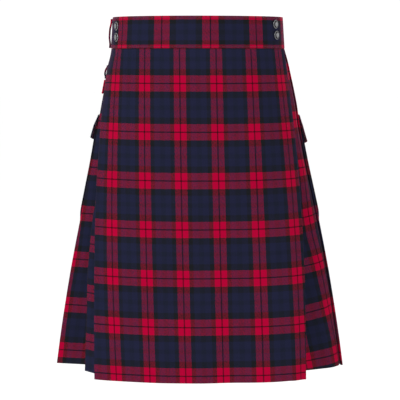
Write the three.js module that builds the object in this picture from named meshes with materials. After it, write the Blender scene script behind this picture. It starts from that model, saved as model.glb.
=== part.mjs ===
// A wrap kilt, filled out as it is worn, with nobody in it. Millimetres, +Z up, the front towards -Y.
// The origin is the middle of the waist opening, half-way up the waistband.
// Left and right are those of someone who looks at the front: left is -X.
//
// The skirt is worked out on a hoop: an oval at each height, wider and deeper towards the hem.
// A place on the hoop is an arc in millimetres and an inset, the distance inwards from the oval.

import * as THREE from "three";

// ---- driving dimensions ----

const BAND_HEIGHT = 54;
const SKIRT_LENGTH = 556;
const SEAM_GAP = 0.3;

const CLOTH = 1.2;
const BAND_CLOTH = 3;
const POCKET_CLOTH = 3;
const FLAP_CLOTH = 2;
const LOOP_CLOTH = 1.6;

// Half sizes of the hoop. The band is a little narrower at its top edge than at its seam.
const BAND_TOP = { halfWidth: 145, frontDepth: 108.5, backDepth: 108.5, squareness: 2, shift: 0 };
const WAIST = { halfWidth: 148.5, frontDepth: 110, backDepth: 110, squareness: 2, shift: 0 };
const HEM = { halfWidth: 254, frontDepth: 158, backDepth: 165, squareness: 2.45, shift: 5 };
const FLARE_BELLY = 0.32;

const PLEATS_ROUND_BACK = 10;
// Each run is a node of its own. The first also holds the pleat that stands out at the left side.
const PLEAT_RUNS = [
  { name: "pleats_left", first: 0, last: 1 },
  { name: "pleats_back_1", first: 2, last: 3 },
  { name: "pleats_back_2", first: 4, last: 5 },
  { name: "pleats_back_3", first: 6, last: 7 },
  { name: "pleats_back_4", first: 8, last: 9 },
  { name: "pleats_right", first: 10, last: 10 },
];
const PLEAT_TUCK = { waist: 26, hem: 24 };
const PLEAT_DEPTH = { waist: 6, hem: 26 };
const LAST_PLEATS_AT_HEM = { 9: 16, 10: 9.2 };
const PLEAT_RELEASE = 0.24;
const LAYER_PITCH = { waist: 1.8, hem: 3 };
const FOLD_REACH = { waist: 1.2, hem: 1.6 };

const APRON_INSET = -3;
const APRON_LEFT = { waist: 150, spread: 27.5, easing: 3.5, drift: 0 };
const APRON_RIGHT = { waist: 147, spread: 31, easing: 3, drift: 2.5 };
const APRON_CURL = 11;
const APRON_CURL_START = 0.9;
const APRON_WAVE = 1.2;
const APRON_WAVES = 2.5;

const UNDER_APRON_INSET = { waist: 2.4, hem: 8 };
const UNDER_APRON_EDGE = { waist: 108, hem: 128 };
const UNDER_APRON_LEAD = 13;

const FRONT_BAND_INSET = -2.2;
const BACK_BAND_INSET = 1.5;
const UNDER_BAND_INSET = 3;
const BAND_OVERLAP = 14;

const SNAP_RADIUS = 7.4;
// From the middle of the back, round the rim and in to the middle of the dome.
const SNAP_PROFILE = [
  { fromRim: SNAP_RADIUS, height: 0 },
  { fromRim: 0.3, height: 0 },
  { fromRim: 0, height: 0.7 },
  { fromRim: 0.7, height: 1.3 },
  { fromRim: 1.6, height: 1.2 },
  { fromRim: 2.4, height: 2 },
  { fromRim: 4.4, height: 2.7 },
  { fromRim: SNAP_RADIUS, height: 3 },
];
const SNAP_SIDES = 16;
const SNAP_GAP = 0.75;
const SNAP_PLACES = [
  { name: "snap_left_upper", x: -139.8, z: 11 },
  { name: "snap_left_lower", x: -139.5, z: -8 },
  { name: "snap_right_upper", x: 133.5, z: 14 },
  { name: "snap_right_lower", x: 135.4, z: -4.5 },
];

const LOOP_WIDTH = 14;
const LOOP_GAP = 3.2;
const BELT_LOOP_ARCS = [0, 0.31, 0.62, 0.93];
// From the upper end down. away is 0 where the loop is sewn on and 1 where it stands clear.
const BELT_LOOP_PATH = [
  { away: 0, height: 24 },
  { away: 0, height: 17.5 },
  { away: 0.4, height: 12.5 },
  { away: 1, height: 6 },
  { away: 1, height: -8 },
  { away: 0.4, height: -14.5 },
  { away: 0, height: -19.5 },
  { away: 0, height: -26 },
];

const HIP_LOOP = { part: 0.005, top: -56, bottom: -79, width: 10, gap: 2, sewn: 3, clear: 8 };
const HIP_TAB = { front: -14, back: 44, top: -81, bottom: -105, inset: -2.3, cloth: 2.6 };

const POCKET = { front: 7, back: 150, top: -161, bottom: -335, inset: -2.6, cornerCut: 16, cornerHeight: 30 };
const FLAP = { overhang: 3, top: -142, topInset: -2.1, bendRow: 0.42 };
// side is the height of the flap's front and back corners, tip that of the point between them.
const FLAP_SHAPES = {
  left: { side: -182, tip: -196, bendInset: -7.2, tipInset: -11 },
  right: { side: -189, tip: -203, bendInset: -5.6, tipInset: -9.6 },
};

// How many steps each wall has across it.
const STEPS = { apron: 26, underApron: 14, frontBand: 30, backBand: 34, underBand: 22, tab: 6, pocket: 12 };

// How far the sides of the skirt stand out beyond the hoop, and how far the under-apron's fold sways
// out beside the apron, at each drop below the waist. The skirt has a row of points at each.
const FULLNESS = [
  { drop: 0, left: -2.4, right: 2.5, fold: 0 },
  { drop: 0.03, left: -2.6, right: 4.6, fold: 0 },
  { drop: 0.052, left: 0, right: 5, fold: 0 },
  { drop: 0.12, left: 0, right: 5.6, fold: 0 },
  { drop: 0.18, left: 0, right: 5.2, fold: 0 },
  { drop: 0.24, left: -0.3, right: 2.2, fold: 0.2 },
  { drop: 0.36, left: -1.7, right: 0.8, fold: 1.4 },
  { drop: 0.52, left: -1, right: 1.4, fold: 9.8 },
  { drop: 0.68, left: 0, right: 1.2, fold: 8.6 },
  { drop: 0.84, left: 0, right: 0.3, fold: 3.2 },
  { drop: 1, left: 0, right: 0, fold: 0 },
];
const BAND_FULLNESS = { left: -2.2, right: 0 };
const FULLNESS_REACH = {
  left: { fromX: 90, toX: 140, fromY: -75, toY: -35 },
  right: { fromX: 60, toX: 140, fromY: -42, toY: -6 },
};
const FLAP_ROWS = [0, 0.2, FLAP.bendRow, 0.7, 1];
const POCKET_ROW_STEPS = 6;
const TAB_ROW_STEPS = 2;

// ---- materials ----

const tartanCloth = () => new THREE.MeshStandardMaterial({ color: 0x5a2038, roughness: 0.9, metalness: 0 });
const bandCloth = () => new THREE.MeshStandardMaterial({ color: 0x3a2440, roughness: 0.9, metalness: 0 });
const snapMetal = () => new THREE.MeshStandardMaterial({ color: 0x8e9094, roughness: 0.3, metalness: 0.9 });

// ---- the hoop ----

const { lerp, clamp, smoothstep } = THREE.MathUtils;
const ARC_STEPS = 240;
const WAIST_Z = -BAND_HEIGHT / 2;
const SKIRT_TOP_Z = WAIST_Z - SEAM_GAP;
const HEM_Z = WAIST_Z - SKIRT_LENGTH;

const drop = (z) => clamp((WAIST_Z - z) / SKIRT_LENGTH, 0, 1);
const flare = (t) => t + FLARE_BELLY * t * t * (1 - t);

function blendSizes(from, to, amount) {
  const mixed = {};
  for (const key of Object.keys(from)) mixed[key] = lerp(from[key], to[key], amount);
  return mixed;
}

function hoopSizes(z) {
  if (z > WAIST_Z) return blendSizes(WAIST, BAND_TOP, (z - WAIST_Z) / BAND_HEIGHT);
  return blendSizes(WAIST, HEM, flare(drop(z)));
}

// angle 0 is the right side, 90 the back, 180 the left side and 270 the front, in radians
function ovalPoint(size, angle, inset) {
  const c = Math.cos(angle);
  const s = Math.sin(angle);
  const depth = s < 0 ? size.frontDepth : size.backDepth;
  const power = 2 / (s < 0 ? size.squareness : 2);
  const x = size.shift + (size.halfWidth - inset) * Math.sign(c) * Math.abs(c) ** power;
  const y = (depth - inset) * Math.sign(s) * Math.abs(s) ** power;
  return new THREE.Vector2(x, y);
}

// Lengths along the oval from the left side, round the back to the right side, and on to the front.
const arcTables = new Map();
function arcTable(z) {
  if (!arcTables.has(z)) {
    const size = hoopSizes(z);
    const lengths = [0];
    let last = ovalPoint(size, Math.PI, 0);
    for (let i = 1; i <= ARC_STEPS; i++) {
      const next = ovalPoint(size, Math.PI - (i / ARC_STEPS) * 2 * Math.PI, 0);
      lengths.push(lengths[i - 1] + next.distanceTo(last));
      last = next;
    }
    arcTables.set(z, { size, lengths, half: lengths[ARC_STEPS / 2], whole: lengths[ARC_STEPS] });
  }
  return arcTables.get(z);
}

const halfHoop = (z) => arcTable(z).half;

// arc runs from the left side round the back; a negative arc runs from the left side to the front
function hoopPoint(z, arc, inset) {
  const { size, lengths, whole } = arcTable(z);
  const along = ((arc % whole) + whole) % whole;
  let i = 1;
  while (i < ARC_STEPS && lengths[i] < along) i++;
  const part = (along - lengths[i - 1]) / (lengths[i] - lengths[i - 1]);
  return ovalPoint(size, Math.PI - ((i - 1 + part) / ARC_STEPS) * 2 * Math.PI, inset);
}

// The point of the front half that lies at x from the middle, on the oval moved in by inset.
function frontAngle(z, x, inset) {
  const size = hoopSizes(z);
  const part = clamp(Math.abs(x) / (size.halfWidth - inset), 0, 1);
  const c = Math.sign(x) * part ** (size.squareness / 2);
  return -Math.acos(clamp(c, -1, 1));
}

// ---- cloth walls ----

// The sideways step at one point of a path that keeps both of its sides parallel to it.
function miter(path, i, half) {
  const before = path[Math.max(i - 1, 0)];
  const after = path[Math.min(i + 1, path.length - 1)];
  const here = path[i];
  const d1 = new THREE.Vector2(here.x - before.x, here.y - before.y).normalize();
  const d2 = new THREE.Vector2(after.x - here.x, after.y - here.y).normalize();
  if (i === 0) d1.copy(d2);
  if (i === path.length - 1) d2.copy(d1);
  const along = d1.clone().add(d2).normalize();
  const stretch = Math.max(along.dot(d1), 0.5);
  return new THREE.Vector2(along.y, -along.x).multiplyScalar(half / stretch);
}

// A closed wall round a grid of points, given as rows from the top edge down.
function clothWall(name, material, thickness, rows) {
  const columns = rows[0].length;
  const positions = [];
  for (const path of rows) {
    for (let i = 0; i < columns; i++) {
      const step = miter(path, i, thickness / 2);
      positions.push(path[i].x + step.x, path[i].y + step.y, path[i].z);
      positions.push(path[i].x - step.x, path[i].y - step.y, path[i].z);
    }
  }
  const at = (row, column, side) => 2 * (row * columns + column) + side;
  const index = [];
  const quad = (a, b, c, d) => index.push(a, b, c, a, c, d);
  const lastRow = rows.length - 1;
  const lastColumn = columns - 1;
  for (let r = 0; r < lastRow; r++) {
    for (let c = 0; c < lastColumn; c++) {
      quad(at(r, c, 0), at(r + 1, c, 0), at(r + 1, c + 1, 0), at(r, c + 1, 0));
      quad(at(r, c, 1), at(r, c + 1, 1), at(r + 1, c + 1, 1), at(r + 1, c, 1));
    }
    quad(at(r, 0, 0), at(r, 0, 1), at(r + 1, 0, 1), at(r + 1, 0, 0));
    quad(at(r, lastColumn, 0), at(r + 1, lastColumn, 0), at(r + 1, lastColumn, 1), at(r, lastColumn, 1));
  }
  for (let c = 0; c < lastColumn; c++) {
    quad(at(0, c, 0), at(0, c + 1, 0), at(0, c + 1, 1), at(0, c, 1));
    quad(at(lastRow, c, 0), at(lastRow, c, 1), at(lastRow, c + 1, 1), at(lastRow, c + 1, 0));
  }
  const geometry = new THREE.BufferGeometry();
  geometry.setAttribute("position", new THREE.Float32BufferAttribute(positions, 3));
  geometry.setIndex(index);
  geometry.computeVertexNormals();
  return named(name, new THREE.Mesh(geometry, material));
}

function named(name, mesh) {
  mesh.name = name;
  return mesh;
}

// The fullness at this height, between the two nearest rows of its table.
function fullness(z, key) {
  if (z >= WAIST_Z) return BAND_FULLNESS[key] ?? 0;
  const t = drop(z);
  let i = 1;
  while (i < FULLNESS.length - 1 && FULLNESS[i].drop < t) i++;
  const above = FULLNESS[i - 1];
  const below = FULLNESS[i];
  return lerp(above[key], below[key], (t - above.drop) / (below.drop - above.drop));
}

// A point in plan, moved sideways with the fullness of its side and set at its height.
function lift(point, z) {
  const side = point.x < 0 ? "left" : "right";
  const reach = FULLNESS_REACH[side];
  const share = smoothstep(Math.abs(point.x), reach.fromX, reach.toX) * smoothstep(point.y, reach.fromY, reach.toY);
  return new THREE.Vector3(point.x + Math.sign(point.x) * share * fullness(z, side), point.y, z);
}

const evenly = (from, to, count) =>
  Array.from({ length: count + 1 }, (_, i) => lerp(from, to, i / count));

const SKIRT_ROWS = FULLNESS.map(({ drop: t }) => (t === 0 ? SKIRT_TOP_Z : WAIST_Z - t * SKIRT_LENGTH));

// ---- knife pleats ----

// Pleat 0 has its fold at the left side and the last pleat at the right side.
// Every fold points backwards from the left: it lies over the start of the next pleat's face.

const opening = (z) => clamp((drop(z) - PLEAT_RELEASE) / (1 - PLEAT_RELEASE), 0, 1);
const opened = (z, size) => lerp(size.waist, size.hem, opening(z));
const tuck = (z) => opened(z, PLEAT_TUCK);
const foldArc = (z, pleat) => (pleat / PLEATS_ROUND_BACK) * halfHoop(z);

function pleatDepth(z, pleat) {
  const atHem = LAST_PLEATS_AT_HEM[pleat] ?? PLEAT_DEPTH.hem;
  return lerp(PLEAT_DEPTH.waist, atHem, opening(z));
}

// From the inner fold of the pleat before to this pleat's outer fold.
function pleatFace(z, pleat) {
  const lastFold = foldArc(z, pleat - 1);
  const fold = foldArc(z, pleat);
  const start = lastFold - tuck(z);
  const deep = pleatDepth(z, pleat - 1);
  const reach = opened(z, FOLD_REACH);
  const arcs = [
    start + reach,
    lastFold - tuck(z) / 2,
    lastFold,
    fold - tuck(z),
    fold - tuck(z) / 2,
    fold - reach,
  ];
  return arcs.map((arc) => hoopPoint(z, arc, (deep * (fold - arc)) / (fold - start)));
}

// Round the outer fold and back under the face, to the inner fold.
function pleatReturn(z, pleat) {
  const fold = foldArc(z, pleat);
  const deep = pleatDepth(z, pleat);
  const pitch = opened(z, LAYER_PITCH);
  const reach = opened(z, FOLD_REACH);
  return [
    hoopPoint(z, fold, pitch / 2),
    hoopPoint(z, fold - reach, pitch),
    hoopPoint(z, fold - tuck(z) / 2, deep / 2),
    hoopPoint(z, fold - tuck(z) + reach, deep - pitch),
  ];
}

const innerFold = (z, pleat) =>
  hoopPoint(z, foldArc(z, pleat) - tuck(z), pleatDepth(z, pleat) - opened(z, LAYER_PITCH) / 2);

// A run of pleats, from the face of the first to the return of the last.
function pleatRun(z, first, last) {
  const path = [];
  for (let pleat = first; pleat <= last; pleat++) {
    if (pleat > first) path.push(innerFold(z, pleat - 1));
    path.push(...pleatFace(z, pleat), ...pleatReturn(z, pleat));
  }
  return path;
}

function pleatNode({ name, first, last }) {
  const rows = SKIRT_ROWS.map((z) => pleatRun(z, first, last).map((point) => lift(point, z)));
  return clothWall(name, tartanCloth(), CLOTH, rows);
}

// ---- folds beside the apron ----

// Each row is one point of the path: its arc and inset at the waist, and its place in plan at the hem.
// Arcs at the left run from the left side and are negative towards the front. sway is the point's share
// of the fold's fullness.

const UNDER_APRON_FOLD = [
  { arc: -90, inset: 2.4, hemX: -146, hemY: -122, sway: 0 },
  { arc: -77, inset: 2.4, hemX: -165, hemY: -103, sway: 0.2 },
  { arc: -64, inset: 2.3, hemX: -181, hemY: -84, sway: 0.5 },
  { arc: -51, inset: 1.2, hemX: -190, hemY: -74.5, sway: 0.85 },
  { arc: -39.2, inset: 0, hemX: -199, hemY: -65.2, sway: 1 },
  { arc: -38, inset: 0.9, hemX: -200, hemY: -63.6, sway: 1 },
  { arc: -39.2, inset: 1.8, hemX: -199, hemY: -62, sway: 1 },
  { arc: -51, inset: 3, hemX: -186, hemY: -50.5, sway: 1 },
  { arc: -62.8, inset: 4.2, hemX: -174, hemY: -39.5, sway: 1 },
];

// The first pleat stands out sideways: its face, its fold, and back to the start of the next face.
const FIRST_PLEAT = [
  { arc: -62.8, inset: 6, hemX: -173, hemY: -35.5 },
  { arc: -51, inset: 4.9, hemX: -184, hemY: -26 },
  { arc: -38, inset: 3.7, hemX: -196, hemY: -17.5 },
  { arc: -26, inset: 2.5, hemX: -209, hemY: -11.5 },
  { arc: -13, inset: 1.2, hemX: -230, hemY: -6.5 },
  { arc: -1.2, inset: 0, hemX: -252.8, hemY: -0.8 },
  { arc: 0, inset: 0.9, hemX: -254, hemY: 0.4 },
  { arc: -1.2, inset: 1.8, hemX: -252.6, hemY: 1.7 },
  { arc: -13, inset: 3, hemX: -236, hemY: 5.4 },
  { arc: -24.8, inset: 4.2, hemX: -220, hemY: 9.2 },
  { arc: -26, inset: 5.1, hemX: -218.2, hemY: 11.2 },
  { arc: -24.8, inset: 6, hemX: -219.4, hemY: 13.4 },
  { arc: -13, inset: 4.9, hemX: -229, hemY: 20 },
  { arc: 0, inset: 3.7, hemX: -238, hemY: 29 },
];

// Arcs here run on from the right side towards the front.
const RIGHT_PANEL = [
  { arc: 14, inset: 2.6, hemX: 233, hemY: -20 },
  { arc: 27, inset: 1.9, hemX: 207, hemY: -34 },
  { arc: 40, inset: 1.3, hemX: 180, hemY: -50 },
  { arc: 52.8, inset: 0.8, hemX: 150.5, hemY: -93 },
  { arc: 54, inset: -0.1, hemX: 149, hemY: -94.8 },
  { arc: 52.8, inset: -1, hemX: 150, hemY: -96.8 },
  { arc: 40, inset: -1, hemX: 164, hemY: -105.5 },
  { arc: 28.5, inset: -1, hemX: 177.3, hemY: -113.4 },
];

function ruledPath(z, table, waistStart) {
  const amount = flare(drop(z));
  return table.map((row) => {
    const top = hoopPoint(WAIST_Z, waistStart + row.arc, row.inset);
    const sway = (row.sway ?? 0) * fullness(z, "fold");
    return new THREE.Vector2(
      lerp(top.x, row.hemX + HEM.shift, amount) - sway,
      lerp(top.y, row.hemY, amount),
    );
  });
}

function underApron() {
  const rows = SKIRT_ROWS.map((z) => {
    const amount = flare(drop(z));
    const inset = lerp(UNDER_APRON_INSET.waist, UNDER_APRON_INSET.hem, amount);
    const fold = ruledPath(z, UNDER_APRON_FOLD, 0);
    const edge = lerp(UNDER_APRON_EDGE.waist, UNDER_APRON_EDGE.hem, amount);
    const size = hoopSizes(z);
    const from = frontAngle(z, edge, inset);
    const to = frontAngle(z, fold[0].x - size.shift + UNDER_APRON_LEAD, inset);
    const front = evenly(from, to, STEPS.underApron).map((angle) => ovalPoint(size, angle, inset));
    return [...front, ...fold].map((point) => lift(point, z));
  });
  return clothWall("under_apron", tartanCloth(), CLOTH, rows);
}

// The first pleat and the one after it, whose face the table begins.
function leftPleats({ name, last }) {
  const rows = SKIRT_ROWS.map((z) => {
    const onTable = ruledPath(z, FIRST_PLEAT, 0);
    const restOfSecond = [...pleatFace(z, last).slice(3), ...pleatReturn(z, last)];
    return [...onTable, ...restOfSecond].map((point) => lift(point, z));
  });
  return clothWall(name, tartanCloth(), CLOTH, rows);
}

function rightPanel() {
  const start = halfHoop(WAIST_Z);
  const rows = SKIRT_ROWS.map((z) => {
    const underLastFold = pleatFace(z, PLEATS_ROUND_BACK + 1).slice(0, 3);
    return [...underLastFold, ...ruledPath(z, RIGHT_PANEL, start)].map((point) => lift(point, z));
  });
  return clothWall("side_panel_right", tartanCloth(), CLOTH, rows);
}

// ---- front apron ----

function apronEdge(z, side) {
  const t = drop(z);
  return side.waist + side.spread * (1 - (1 - t) ** side.easing) + side.drift * t;
}

function frontApron() {
  const rows = SKIRT_ROWS.map((z) => {
    const size = hoopSizes(z);
    const t = drop(z);
    const left = frontAngle(z, -apronEdge(z, APRON_LEFT), APRON_INSET);
    const right = frontAngle(z, apronEdge(z, APRON_RIGHT), APRON_INSET);
    return evenly(0, 1, STEPS.apron).map((u) => {
      const curl = APRON_CURL * t * smoothstep(u, APRON_CURL_START, 1);
      const wave = -APRON_WAVE * t * Math.sin(Math.PI * u) * Math.cos(2 * Math.PI * APRON_WAVES * u);
      const point = ovalPoint(size, lerp(left, right, u), APRON_INSET);
      point.y += curl + wave;
      return lift(point, z);
    });
  });
  return clothWall("front_apron", tartanCloth(), CLOTH, rows);
}

// ---- waistband ----

function bandNode(name, inset, fromArc, toArc, columns) {
  const top = BAND_HEIGHT / 2;
  const rows = [top, -top].map((z) => {
    const stretch = halfHoop(z) / halfHoop(WAIST_Z);
    return evenly(fromArc, toArc, columns).map((arc) => lift(hoopPoint(z, arc * stretch, inset), z));
  });
  return clothWall(name, bandCloth(), BAND_CLOTH, rows);
}

function waistband() {
  const half = halfHoop(WAIST_Z);
  const whole = arcTable(WAIST_Z).whole;
  const freeEdge = hoopArcAtFront(UNDER_APRON_EDGE.waist);
  return [
    bandNode("waistband_front", FRONT_BAND_INSET, half - BAND_OVERLAP, whole + BAND_OVERLAP, STEPS.frontBand),
    bandNode("waistband_back", BACK_BAND_INSET, -BAND_OVERLAP * 2, half + BAND_OVERLAP * 2, STEPS.backBand),
    bandNode("waistband_under", UNDER_BAND_INSET, freeEdge, whole - BAND_OVERLAP * 2 - 1, STEPS.underBand),
  ];
}

// The arc at the waist of the front point that lies at x from the middle.
function hoopArcAtFront(x) {
  const { half, whole } = arcTable(WAIST_Z);
  let best = half;
  for (const arc of evenly(half, whole, 400)) {
    const there = Math.abs(hoopPoint(WAIST_Z, arc, 0).x - x);
    if (there < Math.abs(hoopPoint(WAIST_Z, best, 0).x - x)) best = arc;
  }
  return best;
}

// ---- things on the outside ----

// The point and the outward direction on a surface at this inset, and how far it leans out for each
// millimetre up, over the height of what is fixed there. part is a share of the half hoop.
function surfaceFrame(z, part, inset, halfHeight) {
  const at = (height, step) => hoopPoint(height, part * halfHoop(height) + step, inset);
  const along = at(z, 1).sub(at(z, -1)).normalize();
  const outward = new THREE.Vector2(-along.y, along.x);
  const rise = at(z + halfHeight, 0).sub(at(z - halfHeight, 0));
  const lean = rise.dot(outward) / (2 * halfHeight);
  return { origin: lift(at(z, 0), z), heading: outward.angle(), lean };
}

// A strip bent along a path of (distance out, height) points, its width along the surface.
function bentStrip(name, material, path, cloth, width, place) {
  const points = path.map(([out, height]) => new THREE.Vector2(out + place.lean * height, height));
  const outer = points.map((point, i) => point.clone().add(miter(points, i, cloth / 2)));
  const inner = points.map((point, i) => point.clone().sub(miter(points, i, cloth / 2)));
  const outline = new THREE.Shape([...outer, ...inner.reverse()]);
  const geometry = new THREE.ExtrudeGeometry(outline, { depth: width, bevelEnabled: false });
  geometry.translate(0, 0, -width / 2);
  geometry.rotateX(Math.PI / 2);
  const mesh = named(name, new THREE.Mesh(geometry, material));
  mesh.position.copy(place.origin);
  mesh.rotation.z = place.heading;
  return mesh;
}

function beltLoops() {
  const bandOuter = FRONT_BAND_INSET - BAND_CLOTH / 2;
  const backOuter = BACK_BAND_INSET - BAND_CLOTH / 2;
  const out = LOOP_GAP + LOOP_CLOTH / 2;
  const seated = 2 * SEAM_GAP + LOOP_CLOTH / 2;
  const path = BELT_LOOP_PATH.map(({ away, height }) => [lerp(seated, out, away), height]);
  return BELT_LOOP_ARCS.map((part, i) => {
    const onFrontBand = part * halfHoop(WAIST_Z) < BAND_OVERLAP;
    const place = surfaceFrame(0, part, onFrontBand ? bandOuter : backOuter, BAND_HEIGHT / 2);
    return bentStrip(`belt_loop_${i + 1}`, bandCloth(), path, LOOP_CLOTH, LOOP_WIDTH, place);
  });
}

function hipLoop() {
  const middle = (HIP_LOOP.top + HIP_LOOP.bottom) / 2;
  const half = (HIP_LOOP.top - HIP_LOOP.bottom) / 2;
  const seated = CLOTH / 2 + SEAM_GAP + LOOP_CLOTH / 2;
  const out = seated + HIP_LOOP.gap;
  const path = [
    [seated, half],
    [seated, half - HIP_LOOP.sewn],
    [out, half - HIP_LOOP.clear],
    [out, HIP_LOOP.clear - half],
    [seated, HIP_LOOP.sewn - half],
    [seated, -half],
  ];
  const place = surfaceFrame(middle, HIP_LOOP.part, 0, half);
  return bentStrip("hip_loop", tartanCloth(), path, LOOP_CLOTH, HIP_LOOP.width, place);
}

function hipTab() {
  const rows = evenly(HIP_TAB.top, HIP_TAB.bottom, TAB_ROW_STEPS).map((z) =>
    evenly(HIP_TAB.front, HIP_TAB.back, STEPS.tab).map((arc) => lift(hoopPoint(z, arc, HIP_TAB.inset), z)),
  );
  return clothWall("hip_tab", tartanCloth(), HIP_TAB.cloth, rows);
}

// On the right the same lengths run back from the right side.
const sideArc = (z, side, arc) => (side === "left" ? arc : halfHoop(z) - arc);

function pocket(side) {
  const rows = evenly(POCKET.top, POCKET.bottom, POCKET_ROW_STEPS).map((z) => {
    const cut = POCKET.cornerCut * smoothstep(-z, -POCKET.bottom - POCKET.cornerHeight, -POCKET.bottom);
    const arcs = evenly(POCKET.front + cut, POCKET.back - cut, STEPS.pocket);
    return arcs.map((arc) => lift(hoopPoint(z, sideArc(z, side, arc), POCKET.inset), z));
  });
  return clothWall(`pocket_${side}`, tartanCloth(), POCKET_CLOTH, rows);
}

// The flap is pointed in the middle of its lower edge, where it stands away from the pocket.
function pocketFlap(side) {
  const shape = FLAP_SHAPES[side];
  const from = POCKET.front - FLAP.overhang;
  const to = POCKET.back + FLAP.overhang;
  const rows = FLAP_ROWS.map((v) =>
    evenly(0, 1, STEPS.pocket).map((u) => {
      const point = 1 - Math.abs(2 * u - 1);
      const z = lerp(FLAP.top, lerp(shape.side, shape.tip, point), v);
      const bend = clamp((FLAP.top - z) / (FLAP.top - POCKET.top), 0, 1);
      const away = clamp((POCKET.top - z) / (POCKET.top - shape.tip), 0, 1);
      const inset = lerp(FLAP.topInset, shape.bendInset, bend) + (shape.tipInset - shape.bendInset) * away;
      return lift(hoopPoint(z, sideArc(z, side, lerp(from, to, u)), inset), z);
    }),
  );
  return clothWall(`pocket_flap_${side}`, tartanCloth(), FLAP_CLOTH, rows);
}

function snap({ name, x, z }) {
  const profile = SNAP_PROFILE.map(({ fromRim, height }) => new THREE.Vector2(SNAP_RADIUS - fromRim, height));
  const geometry = new THREE.LatheGeometry(profile, SNAP_SIDES);
  geometry.rotateZ(-Math.PI / 2);
  const inset = FRONT_BAND_INSET - BAND_CLOTH / 2 - SNAP_GAP;
  const angle = frontAngle(z, x, inset);
  const size = hoopSizes(z);
  const point = ovalPoint(size, angle, inset);
  const mesh = named(name, new THREE.Mesh(geometry, snapMetal()));
  mesh.position.copy(lift(point, z));
  const across = size.frontDepth * Math.cos(angle);
  const forward = size.halfWidth * Math.sin(angle);
  mesh.rotation.z = Math.atan2(forward, across);
  return mesh;
}

// ---- the kilt ----

const kilt = new THREE.Group();
kilt.add(frontApron());
kilt.add(underApron());
kilt.add(...PLEAT_RUNS.map((run) => (run.first === 0 ? leftPleats(run) : pleatNode(run))));
kilt.add(rightPanel());
kilt.add(...waistband());
kilt.add(...beltLoops());
kilt.add(...SNAP_PLACES.map(snap));
kilt.add(hipLoop());
kilt.add(hipTab());
for (const side of ["left", "right"]) {
  kilt.add(pocket(side));
  kilt.add(pocketFlap(side));
}

export default kilt;
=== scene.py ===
"""A tartan wrap kilt, filled out as it is worn, dressed over its solids."""

import math
from functools import partial

import bmesh
import bpy
from bpy.props import FloatProperty, FloatVectorProperty, IntProperty, PointerProperty
from bpy.types import Operator, Panel, PropertyGroup
from mathutils import Matrix, Vector


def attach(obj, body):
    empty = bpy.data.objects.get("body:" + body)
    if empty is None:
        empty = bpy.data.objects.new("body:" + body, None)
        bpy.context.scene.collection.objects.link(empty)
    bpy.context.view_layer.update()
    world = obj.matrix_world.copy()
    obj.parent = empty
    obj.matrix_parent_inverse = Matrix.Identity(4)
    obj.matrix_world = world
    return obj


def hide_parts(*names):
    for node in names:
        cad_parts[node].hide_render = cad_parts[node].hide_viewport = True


bl_info = {
    "name": "Tartan kilt",
    "version": (1, 0, 0),
    "blender": (4, 5, 0),
    "location": "View3D > Sidebar > Kilt",
    "description": "Makes a pleated wrap kilt in tartan twill, with its waistband, snaps and hip pockets",
    "category": "Object",
}

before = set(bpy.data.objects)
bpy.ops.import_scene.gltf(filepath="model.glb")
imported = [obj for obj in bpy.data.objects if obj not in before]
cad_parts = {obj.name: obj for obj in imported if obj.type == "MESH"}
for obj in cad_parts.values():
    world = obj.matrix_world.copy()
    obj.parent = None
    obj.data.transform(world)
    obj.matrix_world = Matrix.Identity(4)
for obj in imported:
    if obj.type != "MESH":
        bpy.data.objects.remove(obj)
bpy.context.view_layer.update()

# Lengths in these tables are millimetres, and MM turns them into metres.
MM = 0.001

BAND_HEIGHT = 54.0
SKIRT_LENGTH = 556.0
SEAM_GAP = 0.3
WAIST_Z = -BAND_HEIGHT / 2
SKIRT_TOP_Z = WAIST_Z - SEAM_GAP
HEM_Z = WAIST_Z - SKIRT_LENGTH

# Half sizes of the hoop that the skirt is worked out on, as in the solids.
BAND_TOP = {"half_width": 145.0, "front_depth": 108.5, "back_depth": 108.5, "squareness": 2.0, "shift": 0.0}
WAIST = {"half_width": 148.5, "front_depth": 110.0, "back_depth": 110.0, "squareness": 2.0, "shift": 0.0}
HEM = {"half_width": 254.0, "front_depth": 158.0, "back_depth": 165.0, "squareness": 2.45, "shift": 5.0}
FLARE_BELLY = 0.32
ARC_STEPS = 240

PLEATS_ROUND_BACK = 10
PLEAT_RUNS = (
    {"node": "pleats_left", "first": 0, "last": 1},
    {"node": "pleats_back_1", "first": 2, "last": 3},
    {"node": "pleats_back_2", "first": 4, "last": 5},
    {"node": "pleats_back_3", "first": 6, "last": 7},
    {"node": "pleats_back_4", "first": 8, "last": 9},
    {"node": "pleats_right", "first": 10, "last": 10},
)
PLEAT_TUCK = {"waist": 26.0, "hem": 24.0}
PLEAT_DEPTH = {"waist": 6.0, "hem": 26.0}
LAST_PLEATS_AT_HEM = {9: 16.0, 10: 9.2}
PLEAT_RELEASE = 0.24
LAYER_PITCH = {"waist": 1.8, "hem": 3.0}
FOLD_REACH = {"waist": 1.2, "hem": 1.6}

APRON_INSET = -3.0
APRON_LEFT = {"waist": 150.0, "spread": 27.5, "easing": 3.5, "drift": 0.0}
APRON_RIGHT = {"waist": 147.0, "spread": 31.0, "easing": 3.0, "drift": 2.5}
APRON_CURL = 11.0
APRON_CURL_START = 0.9
APRON_WAVE = 1.2
APRON_WAVES = 2.5

UNDER_APRON_INSET = {"waist": 2.4, "hem": 8.0}
UNDER_APRON_EDGE = {"waist": 108.0, "hem": 128.0}
UNDER_APRON_LEAD = 13.0

FRONT_BAND_INSET = -2.2
BACK_BAND_INSET = 1.5
UNDER_BAND_INSET = 3.0
BAND_OVERLAP = 14.0
BANDS_APART = 1.0  # between the ends of the under-apron's band and of the back one

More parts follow.
